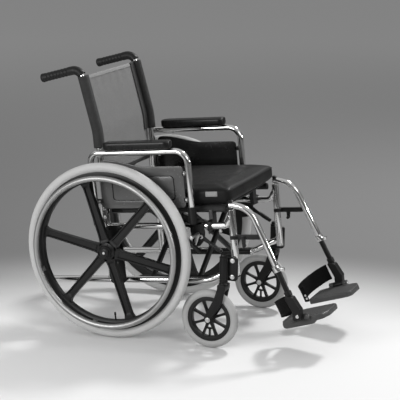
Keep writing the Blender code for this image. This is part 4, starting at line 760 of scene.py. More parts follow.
# A tapered bar along a spoke's radius with a channel down both faces; depth and flare ease in and out.
def spokeShell(root, tip, inner, outer, turn, thick, channel, rib, centre, flare=0.009, rows=44):
    s = np.linspace(inner, outer, rows)
    share = (s - inner) / (outer - inner)
    w = (root + (tip - root) * share) / 2
    w = w + flare * (np.exp(-(s - inner) / 0.010) + np.exp(-(outer - s) / 0.009))
    ease = np.clip(np.minimum(s - inner - 0.012, outer - s - 0.010) / 0.009, 0, 1)
    k = ease * ease * (3 - 2 * ease)
    t, d, soft, fillet = np.full(rows, thick / 2), channel * k, 0.0009, 0.0016 * k
    inside = w - rib
    face = [(w, t - soft), (w - soft, t), (inside + soft * k, t), (inside, t - soft * k),
            (inside - fillet * 0.2, t - d + fillet), (inside - fillet, t - d)]
    half = face + [(-q, x) for q, x in reversed(face)]
    q, x = np.moveaxis(np.array(half + [(-q, -x) for q, x in half]), 0, 1)
    radial, across = spokeWay(turn), spokeWay(turn + np.pi / 2)
    grid = s[:, None, None] * radial + q.T[..., None] * across + x.T[..., None] * np.array([1.0, 0, 0])
    return gridShell(grid + np.asarray(centre), caps="flat")


def wheelCentre(side):
    return np.array([side * wheelSize["half"], axleY, axleZ])


# The tyre, and the casting: rim, hub and spokes, with a stud between each two spokes.
def rearWheel(label, side):
    w = wheelSize
    body, centre, axis = f"{label}_wheel", wheelCentre(side), (side, 0, 0)
    section = tyreProfile(w["radius"], w["tyre"], w["grooves"], w["grooveDepth"])
    tyre = turnedShell(centre, axis, section, 144, ring=True)
    addPiece(f"tyre_{label}", [tyre], "greyTyre", body, f"rear_tyre_{label}", sharp=60)

    half, inner = w["rimHalf"], w["rimInner"]
    seat = w["radius"] - 2 * w["tyre"] - 0.0008
    edge, well = seat + w["lip"], half - 0.0042
    right = [(well, inner), (half, inner + 0.0075), (half, edge), (half - 0.0020, edge), (well, seat)]
    rim = softOutline([(-half, inner + 0.0075), (-well, inner), *right, (-well, seat), (0.0020 - half, edge),
                       (-half, edge)], 0.0016, 3)
    shells = [turnedShell(centre, axis, rim, 144, ring=True)]
    b, h, hubEdge = w["bearing"], w["hubHalf"], w["hub"]
    hub = [(-h, 0.007), (-h, b - 0.001), (-h + 0.001, b), (-h + 0.0095, b), (-h + 0.0105, b + 0.001),
           (-h + 0.0135, hubEdge - 0.001), (-h + 0.0150, hubEdge)]
    shells.append(turnedShell(centre, axis, mirrored(hub), 64))
    step = tau / w["spokes"]
    for i in range(w["spokes"]):
        shells.append(spokeShell(w["root"], w["tip"], hubEdge - 0.006, inner + 0.003, w["turn"] + step * i,
                                 w["thick"], w["channel"], w["rib"], centre))
    stud = [(-0.002, 0.0022), (0.0012, 0.0022), (0.0018, 0.0014)]
    hubFace = centre + np.array([side * (h - 0.0110), 0, 0])
    for i in range(w["spokes"]):
        spot = hubFace + spokeWay(w["turn"] + step * (i + 0.5)) * w["studs"]
        shells.append(turnedShell(spot, axis, stud, 16))
    addPiece(f"wheel_casting_{label}", shells, "blackPlastic", body, f"rear_wheel_{label}")


# The handrim, its tabs and the screws that hold them.
def handrim(label, side):
    w = wheelSize
    body, centre, out = f"{label}_wheel", wheelCentre(side), np.array([side, 0, 0])
    half, inner = w["rimHalf"], w["rimInner"]
    section = circle(w["handrimTube"])[:, ::-1] + (w["handrimOffset"], w["handrim"])
    shells, screws = [turnedShell(centre, out, section, 144, ring=True)], []
    tab = boxOutline(-0.0075, 0.0075, -0.0032, 0.0032, 0.0016, 3)
    line = ((half + 0.0004, 0.0125), (half + 0.006, 0.0125), (0.026, 0.0132), (0.0335, 0.0140))
    for i in range(w["spokes"]):
        radial = spokeWay(w["turn"] + tau * (i + 0.5) / w["spokes"])
        path = centre + np.array([radial * (inner + r) + out * x for x, r in line])
        shells.append(sweptShell(path, tab, np.array([1.25, 0.95, 0.9, 1.0]), up=radial))
        screws.append(screwShell(centre + radial * (inner + 0.0165) + out * 0.0200, radial, 0.0032, 0.0018))
    addPiece(f"push_ring_{label}", shells, "handrimAlloy", body, f"handrim_{label}")
    addPiece(f"push_ring_screws_{label}", screws, "steel", body)


# The valve through the rim, and the quick-release axle with its button cap.
def valveAndAxle(label, side):
    centre, axis, body = wheelCentre(side), (side, 0, 0), f"{label}_frame"
    radial = spokeWay(wheelSize["valveTurn"])
    stem = [(0.0, 0.0042), (0.003, 0.0038), (0.004, 0.0028), (0.016, 0.0027), (0.0165, 0.0037),
            (0.026, 0.0036), (0.0272, 0.0028)]
    valve = turnedShell(centre + radial * (wheelSize["rimInner"] + 0.001), -radial, stem, 24)
    addPiece(f"valve_{label}", [valve], "blackPlastic", f"{label}_wheel")
    face = wheelSize["hubHalf"] + 0.0005
    steps = [(0, 0.0060), (0, 0.0148), (0.0008, 0.0160), (0.0040, 0.0160), (0.0070, 0.0132), (0.0080, 0.0112),
             (0.0080, 0.0072), (0.0070, 0.0064), (0.0070, 0.0058), (0.0102, 0.0054), (0.0110, 0.0040)]
    profile = [(-0.066, 0.0042), (-0.063, 0.0060), *((face + out, radius) for out, radius in steps)]
    cap = makePiece(f"axle_{label}", [turnedShell(centre, axis, profile, 48)], "blackPlastic", 28)
    settle(cap, body, "steel", f"axle_pin_{label}")
    button = [(face + out, radius) for out, radius in ((0.0066, 0.0052), (0.0106, 0.0050), (0.0114, 0.0038))]
    addPiece(f"axle_button_{label}", [turnedShell(centre, axis, button, 32)], "steel", body, sharp=28)


bothSides("rear wheels", rearWheel, handrim, valveAndAxle)


# Casters

casterSize = {
    "half": 0.248, "radius": 0.1016, "tyre": 0.0140, "grooves": (0.30,), "grooveDepth": 0.0004,
    "rimInner": 0.062, "rimHalf": 0.0105, "hub": 0.017, "hubHalf": 0.015, "spokes": 8, "spoke": 0.0080,
    "arch": (0.0322, 0.0372), "trail": 0.047, "forkHalf": 0.019, "forkThick": 0.0045, "crownFoot": 0.207,
    "crownTop": 0.2325, "housing": (0.234, 0.322), "housingRadius": 0.0145, "bracket": (-0.044, 0.006),
    "bracketThick": 0.012}


# A caster is drawn from its wheel's centre, found from the CAD axle, and from its swivel axis.
def caster(label, side):
    c = casterSize
    low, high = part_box(f"caster_axle_{label}")
    y = (low.y + high.y) / 2 - axleY
    centre = upright((c["half"], y, c["radius"]), side)
    casterWheel(label, side, centre)
    casterFork(label, side, centre, y - c["trail"])
    casterHousing(label, side, y - c["trail"])


# The same parts as a rear wheel, at a smaller size, without a channel in the spokes.
def casterWheel(label, side, centre):
    c = casterSize
    body, axis, inner = f"{label}_caster", (side, 0, 0), c["rimInner"]
    section = tyreProfile(c["radius"], c["tyre"], c["grooves"], c["grooveDepth"], 56)
    tyre = turnedShell(centre, axis, section, 96, ring=True)
    # the caster tyre's darker grey is painted shade
    addPiece(f"caster_tread_{label}", [tyre], "casterTyre", body, f"caster_tyre_{label}", sharp=60)
    half, seat = c["rimHalf"], c["radius"] - 2 * c["tyre"] - 0.0008
    edge = seat + 0.0045
    rim = softOutline([(-half, inner + 0.002), (-0.0080, inner), (0.0080, inner), (half, inner + 0.002),
                       (half, edge), (0.0085, edge), (0.0065, seat), (-0.0065, seat), (-0.0085, edge),
                       (-half, edge)], 0.0012, 3)
    shells = [turnedShell(centre, axis, rim, 96, ring=True)]
    h, hubEdge = c["hubHalf"], c["hub"]
    hub = [(-h, 0.0048), (-h, 0.0092), (-h + 0.0008, 0.0100), (-0.0098, 0.0104), (-0.0090, hubEdge - 0.0008),
           (-0.0080, hubEdge)]
    shells.append(turnedShell(centre, axis, mirrored(hub), 48))
    for i in range(c["spokes"]):
        turn = tau * (i + 0.5) / c["spokes"] + np.pi / 2
        shells.append(spokeShell(c["spoke"], c["spoke"] * 0.7, hubEdge - 0.004, inner + 0.002, turn, 0.012,
                                 0.0, 0.002, centre, 0.003, 20))
    shells.append(spokeShell(0.004, 0.004, inner * 0.55, inner + 0.002, -np.pi / 2, 0.010, 0.0, 0.001, centre,
                             0.0015, 14))
    # the small arch that carries the short spoke
    t = -np.pi / 2 + np.linspace(-np.pi / 8, np.pi / 8, 13)
    near, far = (np.stack([r * np.cos(t), r * np.sin(t)], -1) for r in c["arch"])

    def onWheel(points, way):
        return points * (way, 1, 1) + centre

    shells.append(plateShell(np.concatenate([near, far[::-1]]), -0.005, 0.005, 0.0006, onWheel, side))
    addPiece(f"caster_wheel_casting_{label}", shells, "blackPlastic", body, f"caster_wheel_{label}")


# Two blades under a crown, the stem with its cap, and the axle bolt.
def casterFork(label, side, centre, pivotY):
    c = casterSize
    body, up = f"{label}_caster_fork", (0, 0, 1)
    trail, wheel, top, foot = c["trail"], c["radius"], c["crownTop"], c["crownFoot"]

    def onSwivel(points, way=side):
        return upright(np.asarray(points) + (c["half"], pivotY, 0), way)

    blade = softOutline([(-0.013, top - 0.006), (-0.013, foot + 0.002), (-0.004, 0.165),
                         (trail - 0.0135, wheel + 0.004), (trail - 0.009, wheel - 0.010),
                         (trail, wheel - 0.0135), (trail + 0.009, wheel - 0.010), (trail + 0.0135, wheel),
                         (trail + 0.012, wheel + 0.012), (0.026, 0.176), (0.015, foot + 0.004),
                         (0.013, top - 0.006)], 0.02, 5)
    inner, outer = c["forkHalf"], c["forkHalf"] + c["forkThick"]
    shells = [plateShell(blade, *span, 0.0012, onSwivel, side) for span in ((inner, outer), (-outer, -inner))]
    crown = boxOutline(-0.0145, 0.0145, foot, top - 0.004, 0.005)
    shells.append(plateShell(crown, -outer - 0.0004, outer + 0.0004, 0.0022, onSwivel, side, 5))
    neck = [(0.0, 0.0170), (0.004, 0.0168), (0.0085, 0.0150), (0.0105, 0.0135)]
    shells.append(turnedShell(onSwivel((0, 0, top - 0.010)), up, neck, 40))
    shells.append(turnedShell(onSwivel((0, 0, top - 0.004)), up, [(0, 0.0062), (0.099, 0.0062)], 24))
    addPiece(f"fork_{label}", shells, "blackPaint", body, f"caster_fork_{label}")
    cap = [(0.0005, 0.0105), (0.0012, 0.0112), (0.0050, 0.0112), (0.0078, 0.0100), (0.0096, 0.0066)]
    stemCap = turnedShell(onSwivel((0, 0, c["housing"][1])), up, cap, 32)
    addPiece(f"stem_cap_{label}", [stemCap], "blackPlastic", body)

    # axle bolt with a head and a nut
    shells = []
    for way in (side, -side):
        shells += boltShells(centre + np.array([way * outer, 0, 0]), (way, 0, 0), 0.0066, 0.0036)
    shank = [(-outer - 0.004, 0.0038), (outer + 0.004, 0.0038)]
    shells.append(turnedShell(centre, (side, 0, 0), shank, 24))
    addPiece(f"caster_bolt_{label}", shells, "steel", body, f"caster_axle_{label}")


# The barrel round the stem, its bracket on the frame's post and their bolts.
def casterHousing(label, side, pivotY):
    c = casterSize
    (z0, z1), r = c["housing"], c["housingRadius"]
    tall, slim = z1 - z0, r - 0.0009
    barrel = [(0.0, r - 0.0012), (0.0010, r), (0.006, r), (0.0068, slim), (0.0110, slim), (0.0118, r),
              (tall - 0.012, r), (tall - 0.0112, slim), (tall - 0.007, slim), (tall - 0.0062, r),
              (tall - 0.0012, r), (tall, r - 0.0014)]
    shells = [turnedShell(upright((c["half"], pivotY, z0), side), (0, 0, 1), barrel, 44)]
    x0, thick = frameSize["half"] + frameSize["post"] + 0.0003, c["bracketThick"]
    rear, front = (pivotY + place for place in c["bracket"])
    bracket = boxOutline(rear, front, z0 + 0.004, z1 - 0.004, 0.009)
    shells.append(plateShell(bracket, x0, x0 + thick, 0.0016, upright, side, 4))
    addPiece(f"caster_barrel_{label}", shells, "blackPaint", f"{label}_frame", f"caster_housing_{label}")
    bolts = []
    for z in (z0 + 0.018, z1 - 0.014):
        bolts += boltShells(upright((x0 + thick, pivotY - 0.027, z), side), (side, 0, 0), 0.0060, 0.0036)
    addPiece(f"caster_barrel_bolts_{label}", bolts, "steel", f"{label}_frame")


bothSides("casters", caster)


# Armrests

armSize = {
    "half": 0.243, "tube": 0.0110, "top": 0.330, "rear": -0.052, "front": 0.307, "foot": 0.094,
    "bends": [0.030, 0.044], "padRear": 0.004, "padLength": 0.248, "padWidth": 0.050, "padThick": 0.028,
    "padRoll": 0.0075, "padCrown": 0.0015, "padScrews": (0.045, 0.208), "panel": (-0.024, 0.288, 0.138, 0.280),
    "hump": 0.026, "humpRun": 0.170, "corner": 0.014, "thick": 0.004, "edge": 0.0014, "groove": 0.0050,
    "grooveDepth": 0.0015, "field": (0.043, 0.035, 0.025, 0.031), "lugs": 0.026}


# A rounded rectangle with even points on its sides, so that rings of different insets match.
def pairedOutline(a0, a1, h0, h1, radius, cornerSteps=8, sideSteps=36):
    corners = np.array([(a1, h1, 0), (a0, h1, 1), (a0, h0, 2), (a1, h0, 3)])
    signs = np.array([(1, 1), (-1, 1), (-1, -1), (1, -1)])
    centres = corners[:, :2] - signs * radius
    t = np.pi / 2 * (corners[:, 2:] + np.linspace(0, 1, cornerSteps + 1))
    arcs = centres[:, None] + radius * np.stack([np.cos(t), np.sin(t)], -1)
    share = np.linspace(0, 1, sideSteps + 1)[None, 1:-1, None]
    runs = arcs[:, -1:] + (np.roll(arcs, -1, 0)[:, :1] - arcs[:, -1:]) * share
    return np.concatenate([arcs, runs], 1).reshape(-1, 2)


# The top edge lifts towards the rear by a raised cosine and drops a little at the corner.
def humped(outline, middle, top):
    s, (a, h) = armSize, outline.T
    rear, run, corner = s["panel"][0], s["humpRun"], s["corner"]
    share = np.clip((rear + corner * 1.4 + run - a) / run, 0, 1)
    drop = np.clip((rear + corner * 1.6 - a) / (corner * 1.6), 0, 1)
    lift = s["hump"] * (1 - np.cos(np.pi * share)) / 2 - 0.006 * drop ** 2
    weight = np.clip((h - middle) / (top - middle), 0, 1) ** 2
    return np.stack([a, h + lift * weight], -1)


# The panel's rings: a rim that turns in by a quarter circle, and on the outer face a groove round its field.
def sidePanel(label, side):
    s = armSize
    body, edge, corner = f"{label}_arm", s["edge"], s["corner"]
    a0, a1, h0, h1 = s["panel"]
    x0, x1 = s["half"] - s["thick"] / 2, s["half"] + s["thick"] / 2
    rear, front, low, high = s["field"]

    def border(inset):
        ring = pairedOutline(a0 + inset, a1 - inset, h0 + inset, h1 - inset, corner - inset)
        return humped(ring, (h0 + h1) / 2, h1)

    def field(inset):
        return pairedOutline(a0 + rear + inset, a1 - front - inset, h0 + low + inset, h1 - high - inset,
                             corner - inset * 0.6)

    turn = np.linspace(0, np.pi / 2, 5)
    rim = [*zip(edge * (1 - np.cos(turn)), edge * (1 - np.sin(turn)))]
    wall = [(0.0, 0.0), (0.12, 0.0007), (0.75, 0.0014), (1.0, 0.0022)]
    wide, deep = s["groove"], s["grooveDepth"]
    rows = [(x0 + run, border(inset)) for run, inset in rim]
    rows += [(x1 - run, border(inset)) for run, inset in reversed(rim)]
    rows += [(x1 - deep * share, field(inset)) for share, inset in wall]
    rows += [(x1 - deep * share, field(wide - inset)) for share, inset in reversed(wall)]
    rings = np.array([np.insert(ring, 0, x, axis=-1) for x, ring in rows])
    shells = [gridShell(datum(rings, side), caps="flat")]
    heights = (h0 + s["lugs"], h1 - s["lugs"])
    reach = s["tube"] - 0.001
    for h in heights:
        for near, far in ((s["rear"] + reach, a0 + 0.006), (a1 - 0.006, s["front"] - reach)):
            lug = boxOutline(near, far, h - 0.008, h + 0.008, 0.003, 3)
            shells.append(plateShell(lug, x0, x1, 0.0010, datum, side))
    panel = makePiece(f"skirt_panel_{label}", shells, "sidePanel")
    # its outer face is the lighter one: a lighter grey painted on as sheen, in place of the light that face
    # reflects
    panel.data.materials.append(materials["panelFacePaintedSheen"])
    middles = np.empty(len(panel.data.polygons) * 3)
    panel.data.polygons.foreach_get("center", middles)
    outer = middles[::3] * side > x1 - 0.0005
    panel.data.polygons.foreach_set("material_index", outer.astype(np.int32))
    settle(panel, body, "side_panel_plastic", f"side_panel_{label}")
    rivets = [screwShell(datum((x1, a, h), side), (side, 0, 0), 0.0038, 0.0018)
              for h in heights for a in (a0 - 0.009, a1 + 0.002)]
    addPiece(f"skirt_rivets_{label}", rivets, "steel", body)


# A closed pad: rings of a rounded rectangle whose rim is rolled over by a superellipse, and which then
# shrink towards the middle line on top, rising by the crown.
def padShell(a0, a1, x0, x1, h0, h1, corner, roll, crown, side, count=22):
    half, inside = (h1 - h0) / 2, (x1 - x0) / 2 - roll

    def ring(pull, radius, level):
        a, x = pairedOutline(a0 + pull, a1 - pull, x0 + pull, x1 - pull, radius, 8, 16).T
        return np.stack([x, a, np.full(len(a), level)], -1)

    rings = []
    for t in np.linspace(-np.pi / 2, np.pi / 2, count):
        pull, rise = roll * (1 - abs(np.cos(t)) ** 0.75), np.sin(t)
        level = h0 + half + half * np.sign(rise) * abs(rise) ** 0.55
        rings.append(ring(pull, max(corner - pull, 0.002), level))
    for share in (0.25, 0.5, 0.75, 0.93):
        radius, level = max((corner - roll) * (1 - share), 0.0008), h1 + crown * (1 - (1 - share) ** 2)
        rings.append(ring(roll + inside * share, radius, level))
    return gridShell(datum(np.array(rings), side), caps="flat")


# One bent tube from socket to socket, with the pad on top and the panel inside.
def armrest(label, side):
    s = armSize
    body, x, foot, top, tube = f"{label}_arm", s["half"], s["foot"], s["top"], s["tube"]
    rear, front, w, start = s["rear"], s["front"], s["padWidth"] / 2, s["padRear"]
    corners = [(x, rear, foot), (x, rear, top), (x, front, top), (x, front, foot)]
    path = bentPath(datum(corners, side), s["bends"], 5)
    addPiece(f"arm_loop_{label}", [tubeShell(path, tube, 0.0010)], "chrome", body, f"arm_tube_{label}")
    low = top + tube + 0.0003
    pad = padShell(start, start + s["padLength"], x - w, x + w, low, low + s["padThick"] - 0.0015, w * 0.78,
                   s["padRoll"], s["padCrown"], side)
    cushion = addPiece(f"arm_cushion_{label}", [pad], "padFoam", body, f"arm_pad_{label}", sharp=60)
    screws = [screwShell(datum((x, a, top - tube + 0.0004), side), -frameUp, 0.0046, 0.0022)
              for a in s["padScrews"]]
    addPiece(f"arm_pad_screws_{label}", screws, "steel", body)
    sidePanel(label, side)


bothSides("armrests", armrest)


# Hangers and footrests

legSize = {
    "radius": 0.0110, "top": 0.1395, "drop": np.radians(68), "fall": np.radians(12), "knee": 0.503,
    "bend": 0.080, "end": -0.083, "splay": 0.015, "lug": 0.0055, "bar": 0.031, "barHalf": 0.006,
    "yokeTurn": np.radians(118), "yoke": (0.0010, 0.0050), "extension": 0.0092, "blockTop": -0.160,
    "blockFoot": -0.226, "blockHalf": 0.0155, "blockReach": 0.0145, "knuckle": 0.0105,
    "pitch": np.radians(12), "flip": (0.214, 0.645, -0.243)}
kneeHeight = legSize["top"] - np.tan(legSize["fall"]) * (legSize["knee"] - frameSize["frontPost"])


# The forward place of the straight lower leg at height h; the leg also splays outwards as it drops.
def legSpot(h):
    g = legSize
    a = g["knee"] + (kneeHeight - h) / np.tan(g["drop"])
    return frameSize["half"] + g["splay"] * (g["top"] - h) / (g["top"] - g["blockTop"]), a, h


# The bent tube from the front post to the footrest's clamp, and its clasp round the post.
def hanger(label, side):
    g, x, post, postRadius = legSize, frameSize["half"], frameSize["frontPost"], frameSize["post"]
    body, top, end, lugHalf = f"{label}_hanger", g["top"], g["end"], g["lug"]
    corners = [(x, post - 0.006, top), (x, post + 0.008, top), legSpot(kneeHeight), legSpot(end)]
    path = bentPath(datum(corners, side), [0.02, g["bend"]], 4)
    shells = [tubeShell(path, g["radius"], 0.0010)]
    collar = datum([legSpot(end + 0.018), legSpot(end - 0.002)], side)
    shells.append(tubeShell(collar, g["radius"] + 0.0028, 0.0010, 32))
    lugX, lugA = legSpot(end)[:2]
    lug = boxOutline(lugA + 0.004, lugA + 0.023, end + 0.001, end + 0.013, 0.0035)
    shells.append(plateShell(lug, lugX - lugHalf, lugX + lugHalf, 0.0010, datum, side))
    addPiece(f"hanger_tube_{label}", shells, "chrome", body, f"hanger_{label}")

    # top cap over the pivot pin, the bar to the post and its clasp
    cap = [(-0.0005, 0.0068), (0.0, 0.0090), (0.0030, 0.0090), (0.0050, 0.0070), (0.0058, 0.0040)]
    shells = [turnedShell(datum((x, post, top + g["radius"] - 0.0006), side), frameUp, cap, 32)]
    foot, head = g["bar"] - g["barHalf"], g["bar"] + g["barHalf"]
    low, high, start = foot - 0.002, head + 0.002, post + 0.010
    ends = [(legSpot(h)[1] - 0.0108, h) for h in (low, high)]
    bar = softOutline([(start, low), *ends, (start, high)], 0.0025)
    shells.append(plateShell(bar, x - 0.003, x + 0.0069, 0.0010, datum, side))
    turn = np.linspace(-g["yokeTurn"], g["yokeTurn"], 33)
    arc = np.stack([np.sin(turn), np.cos(turn)], -1)
    inside, outside = ((postRadius + gap) * arc + (x, post) for gap in g["yoke"])
    yoke = softOutline(np.concatenate([inside, outside[::-1]]), 0.0012, 1)
    levels = [(foot, 0.0010), (foot + 0.0010, 0), (head - 0.0010, 0), (head, 0.0010)]
    shells.append(levelShell(yoke, levels, datum, side, 2))
    addPiece(f"hanger_clasp_{label}", shells, "blackPlastic", body)
    boltSpot = datum((lugX + lugHalf, lugA + 0.016, end + 0.007), side)
    addPiece(f"hanger_clamp_bolt_{label}", boltShells(boltSpot, (side, 0, 0), 0.0044, 0.003), "steel", body)


# The lever that frees the hanger: a drop-shaped plate, its button and the pin behind its foot.
def releaseLever(label, side):
    body, x0 = f"{label}_hanger_latch", frameSize["half"] + 0.0073
    a, h = frameSize["frontPost"] + frameSize["post"] + 0.024, legSize["bar"]
    spots = [(-0.007, 0.007), (0.006, 0.007), (0.009, -0.010), (0.006, -0.034), (-0.004, -0.036),
             (-0.005, -0.014)]
    outline = softOutline(np.array(spots) + (a, h), 0.006, 5)
    shells = [plateShell(outline, x0, x0 + 0.005, 0.0012, datum, side)]
    button = [(0, 0.0048), (0.004, 0.0046), (0.005, 0.0036)]
    shells.append(turnedShell(datum((x0 + 0.004, a, h), side), (side, 0, 0), button, 24))
    pin = [(x, a + 0.001, h - 0.029) for x in (x0 - 0.009, x0 + 0.006)]
    shells.append(tubeShell(datum(pin, side), 0.0055, 0.002, 24, up=frameUp))
    addPiece(f"release_lever_{label}", shells, "blackPlastic", body, f"hanger_latch_{label}")


# A point of the footplate's own plane: run forwards along its pitch, drop below the hinge.
def plateSpot(x, run, drop):
    (flipA, flipH), pitch = legSize["flip"][1:], legSize["pitch"]
    c, s = np.cos(pitch), np.sin(pitch)
    run, drop = np.asarray(run, float), np.asarray(drop, float)
    return np.stack(np.broadcast_arrays(x, flipA + run * c + drop * s, flipH + run * s - drop * c), -1)


plateUp = datum(plateSpot(0, 0, -1.0)) - datum(plateSpot(0, 0, 0.0))


# The tube that slides in the hanger, and the block that carries the footplate's hinge.
def footrest(label, side):
    g = legSize
    body, top, foot, half = f"{label}_footrest", g["blockTop"], g["blockFoot"], g["blockHalf"]
    flipX, flipA, flipH = g["flip"]
    stem = datum([legSpot(g["end"] + 0.102), legSpot(top - 0.02)], side)
    shells = [tubeShell(stem, g["extension"], 0.001)]
    x, a = legSpot(top)[:2]
    rise, rear, front = np.tan(g["pitch"]) * 0.018, flipA - g["blockReach"], flipA + g["blockReach"]
    outline = softOutline([(a - 0.016, top), (a + 0.017, top - 0.008), (front, foot + 0.016),
                           (front, flipH + rise - 0.004), (rear, flipH - rise - 0.004), (rear, foot + 0.010)],
                          0.007, 5)
    shells.append(plateShell(outline, x - half, x + half, 0.0030, datum, side, 5))
    knuckle, pin = (datum(plateSpot(flipX, [-reach, reach], 0.0), side) for reach in (0.018, 0.034))
    shells.append(tubeShell(knuckle, g["knuckle"], 0.0012, 36))
    collar = datum([legSpot(top + 0.010), legSpot(top - 0.006)], side)
    shells.append(tubeShell(collar, 0.0128, 0.0014, 32))
    addPiece(f"footrest_leg_{label}", shells, "blackPaint", body, f"footrest_tube_{label}")
    boltSpot = datum((x + half, flipA + 0.003, flipH + 0.011), side)
    bolts = [tubeShell(pin, 0.0050, 0.0008, 24)] + boltShells(boltSpot, (side, 0, 0), 0.0044, 0.0030)
    addPiece(f"footrest_pin_{label}", bolts, "steel", body)


footSize = {
    "inner": 0.070, "outer": 0.2085, "heel": -0.070, "toe": 0.089, "drop": 0.004, "thick": 0.018,
    "skin": 0.004, "wall": 0.005, "tread": 0.0105, "ribs": (0.030, 0.062, 0.094),
    "knuckles": (0.0186, -0.0336),
    "treadBar": [(-0.0022, -0.0008), (0.0022, -0.0008), (0.0013, 0.0008), (-0.0013, 0.0008)],
    "rib": [(-0.0014, -0.0045), (0.0014, -0.0045), (0.0018, 0.0045), (-0.0018, 0.0045)],
    "arm": [(-0.0075, -0.0070), (0.0075, -0.0070), (0.0075, 0.0070), (-0.0075, 0.0070)]}


# A shell open below, its plan drawn in ring by ring, with bars, ribs and the hinge.
def footplate(label, side):
    p, flipX = footSize, legSize["flip"][0]
    inner, outer, heel, toe, wall = p["inner"], p["outer"], p["heel"], p["toe"], p["wall"]
    plan = softOutline([(inner, heel), (outer, heel), (outer, toe - 0.034), (outer - 0.010, toe - 0.014),
                        (outer - 0.040, toe), (inner + 0.012, toe), (inner, toe - 0.014)], 0.013, 6)
    top, foot = p["drop"], p["drop"] + p["thick"]
    skin = top + p["skin"]
    # over the top, down the wall, round its foot and up inside to the skin
    levels = [(0.0075, top + 0.0004), (0.0050, top), (0.0016, top + 0.0003), (0.0005, top + 0.0012),
              (0.0, top + 0.003), (0.0, foot - 0.0012), (0.0006, foot - 0.0003), (0.0014, foot),
              (wall - 0.0014, foot), (wall - 0.0004, foot - 0.0006), (wall, foot - 0.002),
              (wall, skin + 0.0015), (wall + 0.0015, skin)]
    rings = np.array([plateSpot(*drawnIn(plan, inset).T, drop) for inset, drop in levels])
    shells = [gridShell(datum(rings, side), caps="flat")]

    def addBar(x, run, drop, section, up=(1, 0, 0)):
        shells.append(sweptShell(datum(plateSpot(x, run, drop), side), np.array(section), up=up, caps="flat"))

    # tread bars on top and ribs below; the bars shorten with the plate's cut corners
    for run in np.arange(heel + 0.016, toe - 0.014, p["tread"]):
        reach = outer - 0.016 - max(0.0, run - (toe - 0.046)) * 0.85
        start = inner + 0.012 + max(0.0, run - (toe - 0.024)) * 0.8
        addBar(np.linspace(start, reach, 6), run, top + 0.0001, p["treadBar"], plateUp)
    for x in p["ribs"]:
        addBar(inner + x, [heel + 0.004, toe - 0.004], top + 0.0075, p["rib"])
    # the deep rail along the hinge side
    rail = boxOutline(heel + 0.001, toe - 0.040, -0.0310, -0.0035, 0.0125, 6)
    rail = plateSpot(0, rail[:, 0], -rail[:, 1])[:, 1:]
    shells.append(plateShell(rail, outer - 0.020, outer + 0.0003, 0.0025, datum, side, 4))
    # hinge knuckles
    for run in p["knuckles"]:
        line = plateSpot(flipX, [run, run + 0.015], 0.0)
        shells.append(tubeShell(datum(line, side), legSize["knuckle"], 0.0010, 32))
        addBar([outer - 0.018, flipX - 0.002], run + 0.0075, 0.0085, p["arm"], plateUp)
    # the plate's lighter grey is painted sheen
    addPiece(f"foot_plate_{label}", shells, "treadPlasticPaintedSheen", f"{label}_footplate", f"footplate_{label}")


heelSize = {
    "band": 0.056, "sag": 0.050, "thick": 0.0026, "lean": np.radians(22), "inner": (0.079, -0.0735, 0.0160),
    "outer": (0.2112, -0.0205, 0.0530), "cup": 0.0012, "rivets": (-0.016, -0.004)}


# The band lies in the plate's own plane coordinates, so it turns with it. It swings back from the straight
# line between its ends by the square root of a half sine, and its width leans with the leg.
def heelLoop(label, side):
    s = heelSize
    body, start, end = f"{label}_footplate", np.array(s["inner"]), np.array(s["outer"])
    leanCos, leanSin = np.cos(s["lean"]), np.sin(s["lean"])
    t = (1 - np.cos(np.linspace(0, np.pi, 49))) / 2
    x, run, rise = (start + (end - start) * t[:, None]).T
    swing = s["sag"] * np.sqrt(np.maximum(0, np.sin(np.pi * t)))
    line = plateSpot(x, run, -rise) - swing[:, None] * np.array([0, leanCos, leanSin])
    line, run = evenPath(datum(line, side), 0.004)
    up = unit(frameUp * leanCos - frameAhead * leanSin)
    across = np.linspace(-0.5, 0.5, 13)
    cup = s["cup"] * (1 - (2 * across) ** 2)
    ahead = unit(np.gradient(line, axis=0))
    outwards = unit(np.cross(ahead, up)) * side
    rows = line[:, None] + across[None, :, None] * s["band"] * up + cup[None, :, None] * outwards[:, None]
    strap = clothPiece(f"heel_strap_{label}", rows, across[None, :] * s["band"], run[:, None], "webbing",
                       s["thick"])
    settle(strap, body, "webbing", f"heel_loop_{label}")
    # two rivets hold its inner end to the plate's heel wall
    spot = line[0] + ahead[0] * 0.006 - outwards[0] * 0.001
    rivets = [screwShell(spot + up * rise, outwards[0] * side, 0.0040, 0.0020) for rise in s["rivets"]]
    addPiece(f"heel_strap_rivets_{label}", rivets, "steel", body)


bothSides("footrests", hanger, releaseLever, footrest, footplate, heelLoop)


# Wheel locks

lockSize = {
    "pivot": (0.327, 0.036), "droop": np.radians(35), "leverGap": 0.0064, "shoeGap": 0.0110, "plate": 0.004,
    "grip": (0.036, 0.088), "shoePivot": (0.303, 0.014), "shoe": (0.3185, 0.047), "knurl": 0.0058,
    "lever": [(-0.009, -0.006), (-0.009, 0.006), (0.0, 0.009), (0.030, 0.006), (0.050, 0.005), (0.050, -0.005),
              (0.030, -0.006), (0.0, -0.009)]}


